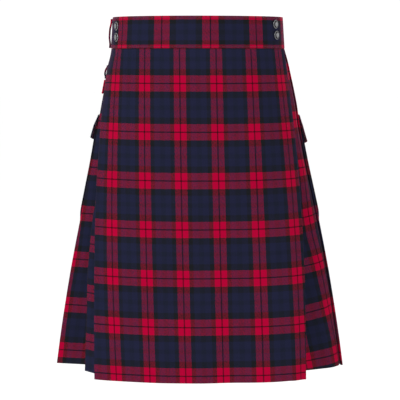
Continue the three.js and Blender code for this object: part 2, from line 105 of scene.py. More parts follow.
SNAP_GAP = 0.75
SNAP_PLACES = (
    {"node": "snap_left_upper", "x": -139.8, "z": 11.0},
    {"node": "snap_left_lower", "x": -139.5, "z": -8.0},
    {"node": "snap_right_upper", "x": 133.5, "z": 14.0},
    {"node": "snap_right_lower", "x": 135.4, "z": -4.5},
)

LOOP_WIDTH = 14.0
LOOP_GAP = 2.3
BELT_LOOP_ARCS = (0.0, 0.31, 0.62, 0.93)
BELT_LOOP_PATH = (
    {"away": 0.0, "height": 24.0},
    {"away": 0.0, "height": 17.5},
    {"away": 0.4, "height": 12.5},
    {"away": 1.0, "height": 6.0},
    {"away": 1.0, "height": -8.0},
    {"away": 0.4, "height": -14.5},
    {"away": 0.0, "height": -19.5},
    {"away": 0.0, "height": -26.0},
)
# In these tables pattern and level are where the piece was cut from the tartan, across and down.
HIP_LOOP = {
    "part": 0.005,
    "top": -56.0,
    "bottom": -79.0,
    "width": 10.0,
    "gap": 2.0,
    "sewn": 3.0,
    "clear": 8.0,
    "pattern": 30.0,
}
HIP_TAB = {"front": -14.0, "back": 44.0, "top": -81.0, "bottom": -105.0, "inset": -2.3,
           "pattern": 16.0, "level": 12.5}

POCKET = {"front": 7.0, "back": 150.0, "top": -161.0, "bottom": -335.0, "inset": -2.6,
          "corner_cut": 16.0, "corner_height": 30.0, "pattern": 10.0}
FLAP = {"overhang": 3.0, "top": -142.0, "top_inset": -2.1, "level": -121.4}
# side is the height of the flap's front and back corners, tip that of the point between them. The left
# flap is cut from the navy, and the right one from the red, which pattern gives.
FLAP_SHAPES = {
    "left": {"side": -182.0, "tip": -196.0, "bend_inset": -7.2, "tip_inset": -11.0, "pattern": 16.0},
    "right": {"side": -189.0, "tip": -203.0, "bend_inset": -5.6, "tip_inset": -9.6, "pattern": -13.0},
}

# How far the sides of the skirt stand out beyond the hoop, and how far the under-apron's fold sways
# out beside the apron, at each drop below the waist.
FULLNESS = (
    {"drop": 0.0, "left": -2.4, "right": 2.5, "fold": 0.0},
    {"drop": 0.03, "left": -2.6, "right": 4.6, "fold": 0.0},
    {"drop": 0.052, "left": 0.0, "right": 5.0, "fold": 0.0},
    {"drop": 0.12, "left": 0.0, "right": 5.6, "fold": 0.0},
    {"drop": 0.18, "left": 0.0, "right": 5.2, "fold": 0.0},
    {"drop": 0.24, "left": -0.3, "right": 2.2, "fold": 0.2},
    {"drop": 0.36, "left": -1.7, "right": 0.8, "fold": 1.4},
    {"drop": 0.52, "left": -1.0, "right": 1.4, "fold": 9.8},
    {"drop": 0.68, "left": 0.0, "right": 1.2, "fold": 8.6},
    {"drop": 0.84, "left": 0.0, "right": 0.3, "fold": 3.2},
    {"drop": 1.0, "left": 0.0, "right": 0.0, "fold": 0.0},
)
FULLNESS_ROUNDING = 0.012  # the part of the drop over which the corners of that table are rounded off
BAND_FULLNESS = {"left": -2.2, "right": 0.0}
FULLNESS_REACH = {
    "left": {"x": (90.0, 140.0), "y": (-75.0, -35.0)},
    "right": {"x": (60.0, 140.0), "y": (-42.0, -6.0)},
}

# Each row is one point of a path: its arc and inset at the waist, and its place in plan at the hem.
# sway is its share of the fold's fullness.
UNDER_APRON_FOLD = (
    {"arc": -90.0, "inset": 2.4, "hem": (-146.0, -122.0), "sway": 0.0},
    {"arc": -77.0, "inset": 2.4, "hem": (-165.0, -103.0), "sway": 0.2},
    {"arc": -64.0, "inset": 2.3, "hem": (-181.0, -84.0), "sway": 0.5},
    {"arc": -51.0, "inset": 1.2, "hem": (-190.0, -74.5), "sway": 0.85},
    {"arc": -39.2, "inset": 0.0, "hem": (-199.0, -65.2), "sway": 1.0},
    {"arc": -38.0, "inset": 0.9, "hem": (-200.0, -63.6), "sway": 1.0},
    {"arc": -39.2, "inset": 1.8, "hem": (-199.0, -62.0), "sway": 1.0},
    {"arc": -51.0, "inset": 3.0, "hem": (-186.0, -50.5), "sway": 1.0},
    {"arc": -62.8, "inset": 4.2, "hem": (-173.8, -38.0), "sway": 1.0},
)
FIRST_PLEAT = (
    {"arc": -62.8, "inset": 6.0, "hem": (-173.0, -36.4)},
    {"arc": -51.0, "inset": 4.9, "hem": (-184.0, -26.0)},
    {"arc": -38.0, "inset": 3.7, "hem": (-196.0, -17.5)},
    {"arc": -26.0, "inset": 2.5, "hem": (-209.0, -11.5)},
    {"arc": -13.0, "inset": 1.2, "hem": (-230.0, -6.5)},
    {"arc": -1.2, "inset": 0.0, "hem": (-252.8, -0.8)},
    {"arc": 0.0, "inset": 0.9, "hem": (-254.0, 0.4)},
    {"arc": -1.2, "inset": 1.8, "hem": (-252.6, 1.7)},
    {"arc": -13.0, "inset": 3.0, "hem": (-236.0, 5.4)},
    {"arc": -24.8, "inset": 4.2, "hem": (-220.0, 9.2)},
    {"arc": -26.0, "inset": 5.1, "hem": (-218.2, 11.2)},
    {"arc": -24.8, "inset": 6.0, "hem": (-219.4, 13.4)},
    {"arc": -13.0, "inset": 4.9, "hem": (-229.0, 20.0)},
    {"arc": 0.0, "inset": 3.7, "hem": (-238.0, 29.0)},
)
RIGHT_PANEL = (
    {"arc": 14.0, "inset": 2.6, "hem": (233.0, -20.0)},
    {"arc": 27.0, "inset": 1.9, "hem": (207.0, -34.0)},
    {"arc": 40.0, "inset": 1.3, "hem": (180.0, -50.0)},
    {"arc": 52.8, "inset": 0.8, "hem": (150.5, -93.0)},
    {"arc": 54.0, "inset": -0.1, "hem": (149.0, -94.8)},
    {"arc": 52.8, "inset": -1.0, "hem": (150.0, -96.8)},
    {"arc": 40.0, "inset": -1.0, "hem": (164.0, -105.5)},
    {"arc": 28.5, "inset": -1.0, "hem": (177.3, -113.4)},
)
UNDER_APRON_FOLD_AT = 5  # the rows that are the folds themselves
FIRST_PLEAT_FOLD_AT = 6

# How far the middle of a red pair lies from the side fold of the side panel, along the cloth, how close its
# stripes stand, and how high its bands stand at that fold and how much they slant.
PANEL_PATTERN = (
    {"drop": 0.0, "pair": 10.0, "spread": 1.0, "lift": 0.0, "slant": 0.0},
    {"drop": 0.22, "pair": 13.0, "spread": 1.0, "lift": 0.0, "slant": 0.0},
    {"drop": 0.37, "pair": 14.5, "spread": 1.0, "lift": 0.0, "slant": 0.02},
    {"drop": 0.51, "pair": 23.8, "spread": 0.9, "lift": 1.0, "slant": 0.11},
    {"drop": 0.58, "pair": 24.2, "spread": 0.84, "lift": 1.5, "slant": 0.14},
    {"drop": 0.67, "pair": 18.1, "spread": 0.83, "lift": 3.0, "slant": 0.13},
    {"drop": 0.81, "pair": 12.0, "spread": 0.83, "lift": 7.0, "slant": 0.14},
    {"drop": 0.89, "pair": 6.6, "spread": 0.83, "lift": 6.0, "slant": 0.12},
    {"drop": 1.0, "pair": 1.0, "spread": 0.83, "lift": 4.0, "slant": 0.06},
)
PANEL_FIRST_BAND_Z = -66.5
PANEL_STRETCH = 0.977  # the panel hangs on the bias, so its repeats come out a little longer
SEAM_ALLOWANCE = 5.0  # how far the pleats reach up into the waistband
TUCKED_IN = 2.0  # how far inwards their top edge is taken there
# The pattern's place at the outer folds of the pleats on the left and the back.
PLEAT_PATTERN = (
    {"drop": 0.0, "place": -14.0},
    {"drop": 0.4, "place": -13.0},
    {"drop": 0.5, "place": -8.5},
    {"drop": 0.62, "place": -3.0},
    {"drop": 0.78, "place": -3.0},
    {"drop": 1.0, "place": 0.0},
)
# How far the last pleat's pattern is moved near the waist, so that its red comes to the fold, and the
# drops at which that begins to fade and has gone.
RED_AT_RIGHT_FOLD = {"shift": 8.0, "fades": (0.22, 0.36)}
BEHIND_FOLD = 1.6  # a place behind a fold counts as this much further off than one before it

# How much lower the hem hangs at the right side behind the hip, and where that begins and is whole.
SIDE_SAG = {"hem": 3.8, "power": 3, "x": (150.0, 200.0), "y": (20.0, 80.0)}
# The soft waves of the hanging cloth: how far each stands out at the hem, how many there are all round,
# where they stand at the waist, and how far they wander on the way down.
DRAPE_WAVES = (
    {"depth": 0.9, "waves": 7, "turn": 0.6, "wander": 0.0},
    {"depth": 0.7, "waves": 11, "turn": 2.0, "wander": -3.1},
)
DRAPE_POWER = 1.6

# The sett, as widths of coloured yarn from the middle of a red pair on to the middle of the next.
WARP_SETT = (
    ("line", 1.1), ("red", 9.0), ("black", 6.6), ("navy", 9.6), ("deep_navy", 7.6),
    ("navy", 9.6), ("black", 6.6), ("red", 9.0), ("line", 1.1),
)
WEFT_SETT = (
    ("line", 1.1), ("red", 12.5), ("black", 10.8), ("navy", 12.4), ("deep_navy", 7.6),
    ("navy", 12.4), ("black", 10.8), ("red", 12.5), ("line", 1.1),
)

# Where the middle of a red band lies under the waist seam, on each piece of the skirt.
FIRST_BAND = {"apron": 56.5, "under_apron": -1.8, "pleats": 44.2}
APRON_BAND_EASE = 2.2  # how much lower the apron's bands lie near its top
# The sett's repeats across the apron, whose cloth hangs a little off the straight. The rows are the
# powers of the distance from its middle, in tenths of a metre, and the columns those of the drop.
APRON_PATTERN = (
    (0.4826, -0.1187, -0.0674),
    (1.6506, -0.1483, 0.105),
    (-0.0045, -0.054, 0.0),
    (-0.0225, 0.0158, 0.0),
)
UNDER_APRON_STRETCH = 0.964
UNDER_APRON_PATTERN = -15.0  # the pattern's place at the under-apron's fold
BAND_PATTERN = {"level": 31.0, "place": -22.0, "middle": 1.5}  # middle counts half hoops from the left side
BELT_LOOP_PATTERN = 5.5

# How many columns and rows of faces each sheet has. The skirt's rows are a setting.
APRON_COLUMNS = 150
UNDER_APRON_FRONT_COLUMNS = 14
BAND_GRID = {"columns": 150, "rows": 10}
TAB_GRID = {"columns": 30, "rows": 6}
POCKET_GRID = {"columns": 44, "rows": 34}
FLAP_GRID = {"columns": 48, "rows": 20}
STRIP_COLUMNS = 8
STRIP_STEPS = 5

# How far a sheet's rim is rounded, in metres as its thickness is.
CLOTH_RIM = 0.0004
FLAP_RIM = 0.0008
TAB_RIM = 0.0009
BAND_RIM = 0.0011
POCKET_RIM = 0.0012
RIM_DEGREES = 70  # an edge that turns more than this is part of the rim
SHARP_DEGREES = 55  # and one that still turns more than this is shaded as an edge

# The topstitches run this far inside the edges of their piece.
BAND_STITCH = {"inside": 2.6, "front_ends": 2.0, "back_ends": 3.0, "steps": 260}
POCKET_STITCH = {"inside": 3.0, "above_corner": 2.0, "side_steps": 20, "corner_steps": 6, "foot_steps": 16}
# In shares of the flap: how far in from its sides a stitch line ends, and how far down it lies.
FLAP_STITCHES = (
    {"sides": 0.02, "down": 0.88, "steps": 60},
    {"sides": 0.01, "down": 0.08, "steps": 40},
)

# The stage, in metres.
FLOOR_RADIUS = 40.0
LIGHTS = (
    {"name": "key_light", "power": "key_power", "size": 1.6, "place": (-1.9, -2.4, 1.3)},
    {"name": "fill_light", "power": "fill_power", "size": 1.8, "place": (2.8, -0.9, 0.4)},
)
LIGHTS_AIM = (0.0, 0.0, -0.28)
CAMERA_PLACE = {"x": 0.005, "z": -0.0405}


# ---- small sums ----


def colour(code):
    """An sRGB hex colour as linear red, green and blue."""
    parts = [int(code[i : i + 2], 16) / 255 for i in (1, 3, 5)]
    return tuple(c / 12.92 if c <= 0.04045 else ((c + 0.055) / 1.055) ** 2.4 for c in parts)


def lerp(a, b, amount):
    return a + (b - a) * amount


def clamp(value, low=0.0, high=1.0):
    return max(low, min(high, value))


def ease(value, low, high):
    part = clamp((value - low) / (high - low))
    return part * part * (3 - 2 * part)


def evenly(start, end, steps):
    return [lerp(start, end, i / steps) for i in range(steps + 1)]


# ---- the hoop ----


def drop(z):
    return clamp((WAIST_Z - z) / SKIRT_LENGTH)


def flare(t):
    return t + FLARE_BELLY * t * t * (1 - t)


def hoop_sizes(z):
    if z > WAIST_Z:
        amount = (z - WAIST_Z) / BAND_HEIGHT
        return {key: lerp(WAIST[key], BAND_TOP[key], amount) for key in WAIST}
    amount = flare(drop(z))
    return {key: lerp(WAIST[key], HEM[key], amount) for key in WAIST}


def oval_point(size, angle, inset):
    """The point in plan at this angle: 0 is the right side, then the back, the left side and the front."""
    c, s = math.cos(angle), math.sin(angle)
    depth = size["front_depth"] if s < 0 else size["back_depth"]
    power = 2 / size["squareness"] if s < 0 else 1.0
    x = size["shift"] + (size["half_width"] - inset) * math.copysign(abs(c) ** power, c)
    y = (depth - inset) * math.copysign(abs(s) ** power, s)
    return (x, y)


ARC_TABLES = {}


def arc_table(z):
    """Lengths along the oval from the left side, round the back to the right side, and on to the front."""
    key = round(z, 3)
    if key not in ARC_TABLES:
        size = hoop_sizes(z)
        lengths = [0.0]
        last = oval_point(size, math.pi, 0)
        for i in range(1, ARC_STEPS + 1):
            point = oval_point(size, math.pi - i / ARC_STEPS * 2 * math.pi, 0)
            lengths.append(lengths[-1] + math.dist(point, last))
            last = point
        ARC_TABLES[key] = (size, lengths)
    return ARC_TABLES[key]


def half_hoop(z):
    return arc_table(z)[1][ARC_STEPS // 2]


def hoop_point(z, arc, inset):
    """arc runs from the left side round the back, and a negative one from the left side to the front."""
    size, lengths = arc_table(z)
    along = arc % lengths[-1]
    low, high = 0, ARC_STEPS
    while high - low > 1:
        middle = (low + high) // 2
        if lengths[middle] < along:
            low = middle
        else:
            high = middle
    part = (along - lengths[low]) / (lengths[high] - lengths[low])
    return oval_point(size, math.pi - (low + part) / ARC_STEPS * 2 * math.pi, inset)


def front_angle(z, x, inset):
    size = hoop_sizes(z)
    part = clamp(abs(x) / (size["half_width"] - inset))
    return -math.acos(math.copysign(part ** (size["squareness"] / 2), x))


def look_up(table, t, key):
    """The value in a table of drops at this one, in a straight line between its rows."""
    i = next(n for n in range(1, len(table)) if table[n]["drop"] >= t)
    above, below = table[i - 1], table[i]
    return lerp(above[key], below[key], (t - above["drop"]) / (below["drop"] - above["drop"]))


def fullness(z, key):
    """The fullness at this height, with the corners of its table rounded off."""
    if z >= WAIST_Z:
        return BAND_FULLNESS.get(key, 0.0)
    steps = (-FULLNESS_ROUNDING, 0.0, FULLNESS_ROUNDING)
    return sum(look_up(FULLNESS, clamp(drop(z) + step), key) for step in steps) / len(steps)


def settled(x, y, z):
    """A point in plan, moved sideways with the fullness of its side."""
    side = "left" if x < 0 else "right"
    reach = FULLNESS_REACH[side]
    share = ease(abs(x), *reach["x"]) * ease(y, *reach["y"])
    return x + math.copysign(1, x) * share * fullness(z, side), y


# ---- cloth ----


def rounded(points, steps):
    """A smooth line through the points, so that a fold turns instead of breaking at a corner."""
    last = len(points) - 1
    gaps = [math.dist(points[i], points[i + 1]) for i in range(last)]
    ways = [((b[0] - a[0]) / g, (b[1] - a[1]) / g) for a, b, g in zip(points, points[1:], gaps)]
    slopes = []
    for i in range(last + 1):
        before, after = ways[max(i - 1, 0)], ways[min(i, last - 1)]
        way = (before[0] + after[0], before[1] + after[1])
        size = math.hypot(*way) or 1.0
        reach = min(gaps[max(i - 1, 0)], gaps[min(i, last - 1)])
        slopes.append((way[0] / size * reach, way[1] / size * reach))
    line = [points[0]]
    for i in range(last):
        a, b, m, n = points[i], points[i + 1], slopes[i], slopes[i + 1]
        for k in range(1, steps + 1):
            t = k / steps
            h1, h2 = 2 * t**3 - 3 * t**2 + 1, t**3 - 2 * t**2 + t
            h3, h4 = -2 * t**3 + 3 * t**2, t**3 - t**2
            line.append(tuple(h1 * a[j] + h2 * m[j] + h3 * b[j] + h4 * n[j] for j in (0, 1)))
    return line


def lengths_along(path):
    lengths = [0.0]
    for a, b in zip(path, path[1:]):
        lengths.append(lengths[-1] + math.dist(a, b))
    return lengths


def drape(x, y, z):
    """How far the hanging cloth stands out or in. It is the same for every layer at a place."""
    t = drop(z)
    angle = math.atan2(y, x)
    return t**DRAPE_POWER * sum(
        wave["depth"] * math.sin(wave["waves"] * angle + wave["wander"] * t + wave["turn"])
        for wave in DRAPE_WAVES
    )


def hang(path, z):
    """The points of a path in plan at this height, with the drape of the cloth, in metres."""
    points = []
    lowered = SIDE_SAG["hem"] * drop(z) ** SIDE_SAG["power"]
    for x, y in (settled(*point, z) for point in path):
        out = drape(x, y, z)
        size = math.hypot(x, y)
        sag = lowered * ease(x, *SIDE_SAG["x"]) * (1 - ease(y, *SIDE_SAG["y"]))
        points.append(Vector((x + x / size * out, y + y / size * out, z - sag)) * MM)
    return points


def lay_cloth(name, rows, uvs, thickness, rim, rim_segments=2):
    """A grid of cloth moved to rows of points, from its top edge down, and given its thickness."""
    across, down = len(rows[0]) - 1, len(rows) - 1
    bm = bmesh.new()
    bmesh.ops.create_grid(bm, x_segments=across, y_segments=down, size=0.5)
    if len(bm.verts) != (across + 1) * (down + 1):
        raise RuntimeError(f"{name}: the grid has {len(bm.verts)} points")
    cloth_map = bm.loops.layers.uv.new("cloth")
    for face in bm.faces:
        face.smooth = True
        for loop in face.loops:
            column = round((loop.vert.co.x + 0.5) * across)
            row = round((0.5 - loop.vert.co.y) * down)
            loop[cloth_map].uv = uvs[row][column]
    for vert in bm.verts:
        column = round((vert.co.x + 0.5) * across)
        row = round((0.5 - vert.co.y) * down)
        vert.co = rows[row][column]
    return thicken(finish_mesh(name, bm, cloth_material()), thickness, rim, rim_segments)


def finish_mesh(name, bm, material):
    mesh = bpy.data.meshes.new(name)
    bm.to_mesh(mesh)
    bm.free()
    mesh.materials.append(material)
    piece = bpy.data.objects.new(name, mesh)
    bpy.context.scene.collection.objects.link(piece)
    return piece


def thicken(piece, thickness, rim, rim_segments):
    """Gives a sheet its thickness and rounds its rim, in the mesh itself."""
    wall = piece.modifiers.new("thickness", "SOLIDIFY")
    wall.thickness = thickness
    wall.offset = 0.0
    edge = piece.modifiers.new("rim", "BEVEL")
    edge.width = rim
    edge.segments = rim_segments
    edge.limit_method = "ANGLE"
    edge.angle_limit = math.radians(RIM_DEGREES)
    edge.harden_normals = False
    bpy.context.view_layer.update()
    graph = bpy.context.evaluated_depsgraph_get()
    shown = piece.evaluated_get(graph)
    made = bpy.data.meshes.new_from_object(shown, preserve_all_data_layers=True, depsgraph=graph)
    old = piece.data
    piece.modifiers.clear()
    piece.data = made
    bpy.data.meshes.remove(old)
    made.name = piece.name
    made.shade_smooth()
    made.set_sharp_from_angle(angle=math.radians(SHARP_DEGREES))
    return piece


def hand_over(piece, node):
    """Hangs a cloth piece from the root and hides the part of the solids that it stands for."""
    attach(piece, "root")
    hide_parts(node)


def skirt_heights(rows):
    """Heights from the top edge of the skirt to its hem."""
    return evenly(SKIRT_TOP_Z, HEM_Z, rows)


def opening(z):
    return clamp((drop(z) - PLEAT_RELEASE) / (1 - PLEAT_RELEASE))


def opened(z, size):
    return lerp(size["waist"], size["hem"], opening(z))


def fold_arc(z, pleat):
    return pleat / PLEATS_ROUND_BACK * half_hoop(z)


def pleat_depth(z, pleat):
    return lerp(PLEAT_DEPTH["waist"], LAST_PLEATS_AT_HEM.get(pleat, PLEAT_DEPTH["hem"]), opening(z))


def pleat_face(z, pleat):
    """From the inner fold of the pleat before to this pleat's outer fold."""
    tuck, reach = opened(z, PLEAT_TUCK), opened(z, FOLD_REACH)
    last_fold, fold = fold_arc(z, pleat - 1), fold_arc(z, pleat)
    start = last_fold - tuck
    deep = pleat_depth(z, pleat - 1)
    arcs = (start + reach, last_fold - tuck / 2, last_fold, fold - tuck, fold - tuck / 2, fold - reach)
    return [hoop_point(z, arc, deep * (fold - arc) / (fold - start)) for arc in arcs]


def pleat_return(z, pleat):
    """Round the outer fold and back under the face, to the inner fold. Its first point is the fold."""
    tuck, reach, pitch = opened(z, PLEAT_TUCK), opened(z, FOLD_REACH), opened(z, LAYER_PITCH)
    fold, deep = fold_arc(z, pleat), pleat_depth(z, pleat)
    return [
        hoop_point(z, fold, pitch / 2),
        hoop_point(z, fold - reach, pitch),
        hoop_point(z, fold - tuck / 2, deep / 2),
        hoop_point(z, fold - tuck + reach, deep - pitch),
    ]


def inner_fold(z, pleat):
    return hoop_point(
        z, fold_arc(z, pleat) - opened(z, PLEAT_TUCK), pleat_depth(z, pleat) - opened(z, LAYER_PITCH) / 2
    )


def ruled_path(z, table, waist_start):
    amount = flare(drop(z))
    path = []
    for row in table:
        x, y = hoop_point(WAIST_Z, waist_start + row["arc"], row["inset"])
        sway = row.get("sway", 0.0) * fullness(z, "fold")
        path.append((lerp(x, row["hem"][0] + HEM["shift"], amount) - sway, lerp(y, row["hem"][1], amount)))
    return path


def run_path(z, run):
    """The path of a run of pleats, and the places in it of its outer folds."""
    path, folds = [], []
    if run["first"] == 0:
        path += ruled_path(z, FIRST_PLEAT, 0)
        folds.append(FIRST_PLEAT_FOLD_AT)
        path += pleat_face(z, run["last"])[3:]
        folds.append(len(path))
        path += pleat_return(z, run["last"])
        return path, folds
    for pleat in range(run["first"], run["last"] + 1):
        if pleat > run["first"]:
            path.append(inner_fold(z, pleat - 1))
        path += pleat_face(z, pleat)
        folds.append(len(path))
        path += pleat_return(z, pleat)
    return path, folds


def pattern_from_folds(lengths, folds):
    """How far each point lies from the fold of its own pleat, along the cloth."""
    places = []
    for i, along in enumerate(lengths):
        nearest = min(folds, key=lambda f: abs(lengths[f] - along) * (1 if f >= i else BEHIND_FOLD))
        places.append(along - lengths[nearest])
    return places


def pleats_down(z):
    """How far down the cloth of the pleats this height lies, from the middle of a red band, in metres."""
    return (WAIST_Z - z - FIRST_BAND["pleats"]) * MM


def panel_pattern(z, place):
    """The pattern on the cloth of the right side, at this distance from its side fold, in metres."""
    row = {key: look_up(PANEL_PATTERN, drop(z), key) for key in PANEL_PATTERN[0]}
    down = (PANEL_FIRST_BAND_Z - z) * PANEL_STRETCH + row["lift"] - row["slant"] * place
    return ((place - row["pair"]) * row["spread"] * MM, down * MM)


# ---- materials ----


def add_node(tree, kind, settings=None, links=None):
    """One node, with the values of its own settings and sockets, and the outputs or nodes that feed it."""
    node = tree.nodes.new(kind)
    for key, value in (settings or {}).items():
        if isinstance(key, int) or key in node.inputs:
            node.inputs[key].default_value = value
        else:
            setattr(node, key, value)
    for key, source in (links or {}).items():
        output = source.outputs[0] if isinstance(source, bpy.types.Node) else source
        tree.links.new(output, node.inputs[key])
    return node


def new_material(name):
    """An empty material, and the function that adds a node to it."""
    material = bpy.data.materials.new(name)
    material.use_nodes = True
    material.node_tree.nodes.clear()
    return material, partial(add_node, material.node_tree)


# Loose fibre ends on worn worsted catch the light in a pale mauve.
SHEEN_COLOUR = "#C98CA9"


def tartan_twill(name, sett):
    """Worsted twill woven in a tartan sett. Red yarn sinks a little between the dark ones, so a red and a
    dark yarn that cross look more dark than red, and only red over red is bright. The twill's ribs are
    drawn 2.2 mm apart, twice as coarse as the real ones, which are too fine to show."""
    material, add = new_material(name)
    place = add("ShaderNodeUVMap", {"uv_map": "cloth"})
    axes = add("ShaderNodeSeparateXYZ", links={0: place.outputs["UV"]})
    yarns = {"line": (sett.line_colour, 0.0), "red": (sett.red_colour, 1.0), "navy": (sett.navy_colour, 0.0),
             "deep_navy": (sett.deep_navy_colour, 0.0), "black": (sett.black_colour, 0.0)}
    ways = {}
    for way, axis, repeat, stripes in (
        ("warp", "X", sett.repeat_across, WARP_SETT),
        ("weft", "Y", sett.repeat_down, WEFT_SETT),
    ):
        turns = add("ShaderNodeMath", {"operation": "DIVIDE", 1: repeat}, {0: axes.outputs[axis]})
        part = add("ShaderNodeMath", {"operation": "FRACT"}, {0: turns})
        ramp = add("ShaderNodeValToRGB", links={"Fac": part})
        ramp.color_ramp.interpolation = "CONSTANT"
        whole, at = sum(width for _, width in stripes), 0.0
        for i, (yarn, width) in enumerate(stripes):
            rgb, redness = yarns[yarn]
            stop = ramp.color_ramp.elements[0] if i == 0 else ramp.color_ramp.elements.new(at / whole)
            if i == 1:
                ramp.color_ramp.elements.remove(ramp.color_ramp.elements[-1])
            stop.color = (*rgb, redness)
            at += width
        ways[way] = ramp
    # the share of the surface that the warp covers
    tilt = add(
        "ShaderNodeMath",
        {"operation": "SUBTRACT"},
        {0: ways["weft"].outputs["Alpha"], 1: ways["warp"].outputs["Alpha"]},
    )
    share = add(
        "ShaderNodeMath", {"operation": "MULTIPLY_ADD", 1: sett.red_sinks, 2: sett.warp_share}, {0: tilt}
    )
    # the diagonal ribs of the twill
    steps = add("ShaderNodeMath", {"operation": "SUBTRACT"}, {0: axes.outputs["X"], 1: axes.outputs["Y"]})
    ribs = add("ShaderNodeMath", {"operation": "DIVIDE", 1: sett.rib_pitch}, {0: steps})
    rib = add("ShaderNodeMath", {"operation": "FRACT"}, {0: ribs})
    on_top = add("ShaderNodeMath", {"operation": "LESS_THAN"}, {0: rib, 1: share})
    woven = add(
        "ShaderNodeMix",
        {"data_type": "RGBA"},
        {"Factor": on_top, 6: ways["weft"].outputs["Color"], 7: ways["warp"].outputs["Color"]},
    )
    # uneven dye and thickness, yarn by yarn, in both ways of the cloth: 0.7 mm wide and 33 mm long
    across = add("ShaderNodeMapping", {"Scale": (1400.0, 30.0, 1.0)}, {"Vector": place.outputs["UV"]})
    along = add("ShaderNodeMapping", {"Scale": (30.0, 1400.0, 1.0)}, {"Vector": place.outputs["UV"]})
    warp_yarns = add("ShaderNodeTexNoise", {"Scale": 1.0, "Detail": 2.0}, {"Vector": across})
    weft_yarns = add("ShaderNodeTexNoise", {"Scale": 1.0, "Detail": 2.0}, {"Vector": along})
    yarn = add("ShaderNodeMix", {"data_type": "FLOAT"}, {"Factor": on_top, 2: weft_yarns, 3: warp_yarns})
    # a broad cloud, some 11 cm across, lightens and darkens whole patches: painted sheen where pressing makes
    # the cloth shine
    pressing_sheen_cloud = add("ShaderNodeTexNoise", {"Scale": 9.0, "Detail": 3.0}, {"Vector": place.outputs["UV"]})
    both = add("ShaderNodeMath", {"operation": "MULTIPLY_ADD", 1: 0.35}, {0: pressing_sheen_cloud, 2: yarn})
    light = add(
        "ShaderNodeMapRange",
        {"From Min": 0.3, "From Max": 1.05, "To Min": 0.78, "To Max": 1.2},
        {"Value": both},
    )
    dyed = add("ShaderNodeVectorMath", {"operation": "SCALE"}, {0: woven.outputs[2], "Scale": light})
    wave = add("ShaderNodeMath", {"operation": "PINGPONG", 1: 0.5}, {0: ribs})
    relief = add("ShaderNodeMath", {"operation": "ADD"}, {0: wave, 1: yarn})
    bump = add("ShaderNodeBump", {"Strength": 0.35, "Distance": 0.0004}, {"Height": relief})
    shader = add(
        "ShaderNodeBsdfPrincipled",
        {
            "Roughness": 0.9,
            "Specular IOR Level": 0.02,
            "Sheen Weight": 0.4,
            "Sheen Roughness": 0.25,
            "Sheen Tint": (*colour(SHEEN_COLOUR), 1.0),
        },
        {"Base Color": dyed, "Normal": bump},
    )
    add("ShaderNodeOutputMaterial", links={"Surface": shader})
    return material


def spun_thread(name, rgb):
    """Corespun polyester thread, twisted, with a slight gleam. Its fine slanting ridges are painted shade:
    diagonal stripes from six tenths of its colour up to the whole of it.
    """
    material, add = new_material(name)
    place = add("ShaderNodeTexCoord")
    # painted shade of the twist's ridges, as diagonal stripes
    painted_twist_shade = add(
        "ShaderNodeTexWave",
        {"Scale": 900.0, "Distortion": 1.5, "bands_direction": "DIAGONAL"},
        {"Vector": place.outputs["Object"]},
    )
    shade = add(
        "ShaderNodeMix",
        {"data_type": "RGBA", 6: (*(c * 0.6 for c in rgb), 1.0), 7: (*rgb, 1.0)},
        {"Factor": painted_twist_shade.outputs["Fac"]},
    )
    shader = add(
        "ShaderNodeBsdfPrincipled", {"Roughness": 0.55, "Sheen Weight": 0.1}, {"Base Color": shade.outputs[2]}
    )
    add("ShaderNodeOutputMaterial", links={"Surface": shader})
    return material


def pressed_nickel(name, rgb):
    """Brass pressed into a cap, plated with black nickel and tumbled, which wears it to a soft pewter with
    random scuffs. The caps take it twice: in their worn colour, and as a dark copy that is painted shade
    in their groove."""
    material, add = new_material(name)
    place = add("ShaderNodeTexCoord")
    scuffs = add("ShaderNodeTexNoise", {"Scale": 700.0, "Detail": 4.0}, {"Vector": place.outputs["Object"]})
    dull = add(
        "ShaderNodeMapRange",
        {"From Min": 0.3, "From Max": 0.7, "To Min": 0.2, "To Max": 0.42},
        {"Value": scuffs},
    )
    tone = add(
        "ShaderNodeMix",
        {"data_type": "RGBA", 6: (*(c * 0.62 for c in rgb), 1.0), 7: (*rgb, 1.0)},
        {"Factor": scuffs},
    )
    bump = add("ShaderNodeBump", {"Strength": 0.15, "Distance": 0.0001}, {"Height": scuffs})
    shader = add(
        "ShaderNodeBsdfPrincipled",
        {"Metallic": 1.0},
        {"Base Color": tone.outputs[2], "Roughness": dull, "Normal": bump},
    )
    add("ShaderNodeOutputMaterial", links={"Surface": shader})
    return material


def seamless_paper(name, rgb):
    """Matt studio paper with a faint fibre."""
    material, add = new_material(name)
    place = add("ShaderNodeTexCoord")
    fibre = add("ShaderNodeTexNoise", {"Scale": 60.0, "Detail": 3.0}, {"Vector": place.outputs["Object"]})
    tone = add(
        "ShaderNodeMix",
        {"data_type": "RGBA", 6: (*(c * 0.985 for c in rgb), 1.0), 7: (*rgb, 1.0)},
        {"Factor": fibre},
    )
    shader = add(
        "ShaderNodeBsdfPrincipled",
        {"Roughness": 0.95, "Specular IOR Level": 0.1},
        {"Base Color": tone.outputs[2]},
    )
    add("ShaderNodeOutputMaterial", links={"Surface": shader})
    return material


def cloth_material():
    name = "worsted tartan twill"
    return bpy.data.materials.get(name) or tartan_twill(name, bpy.context.scene.kilt_sett)


def thread_material():
    name = "corespun sewing thread"
    return bpy.data.materials.get(name) or spun_thread(name, tuple(bpy.context.scene.kilt_trim.thread_colour))


# ---- settings ----


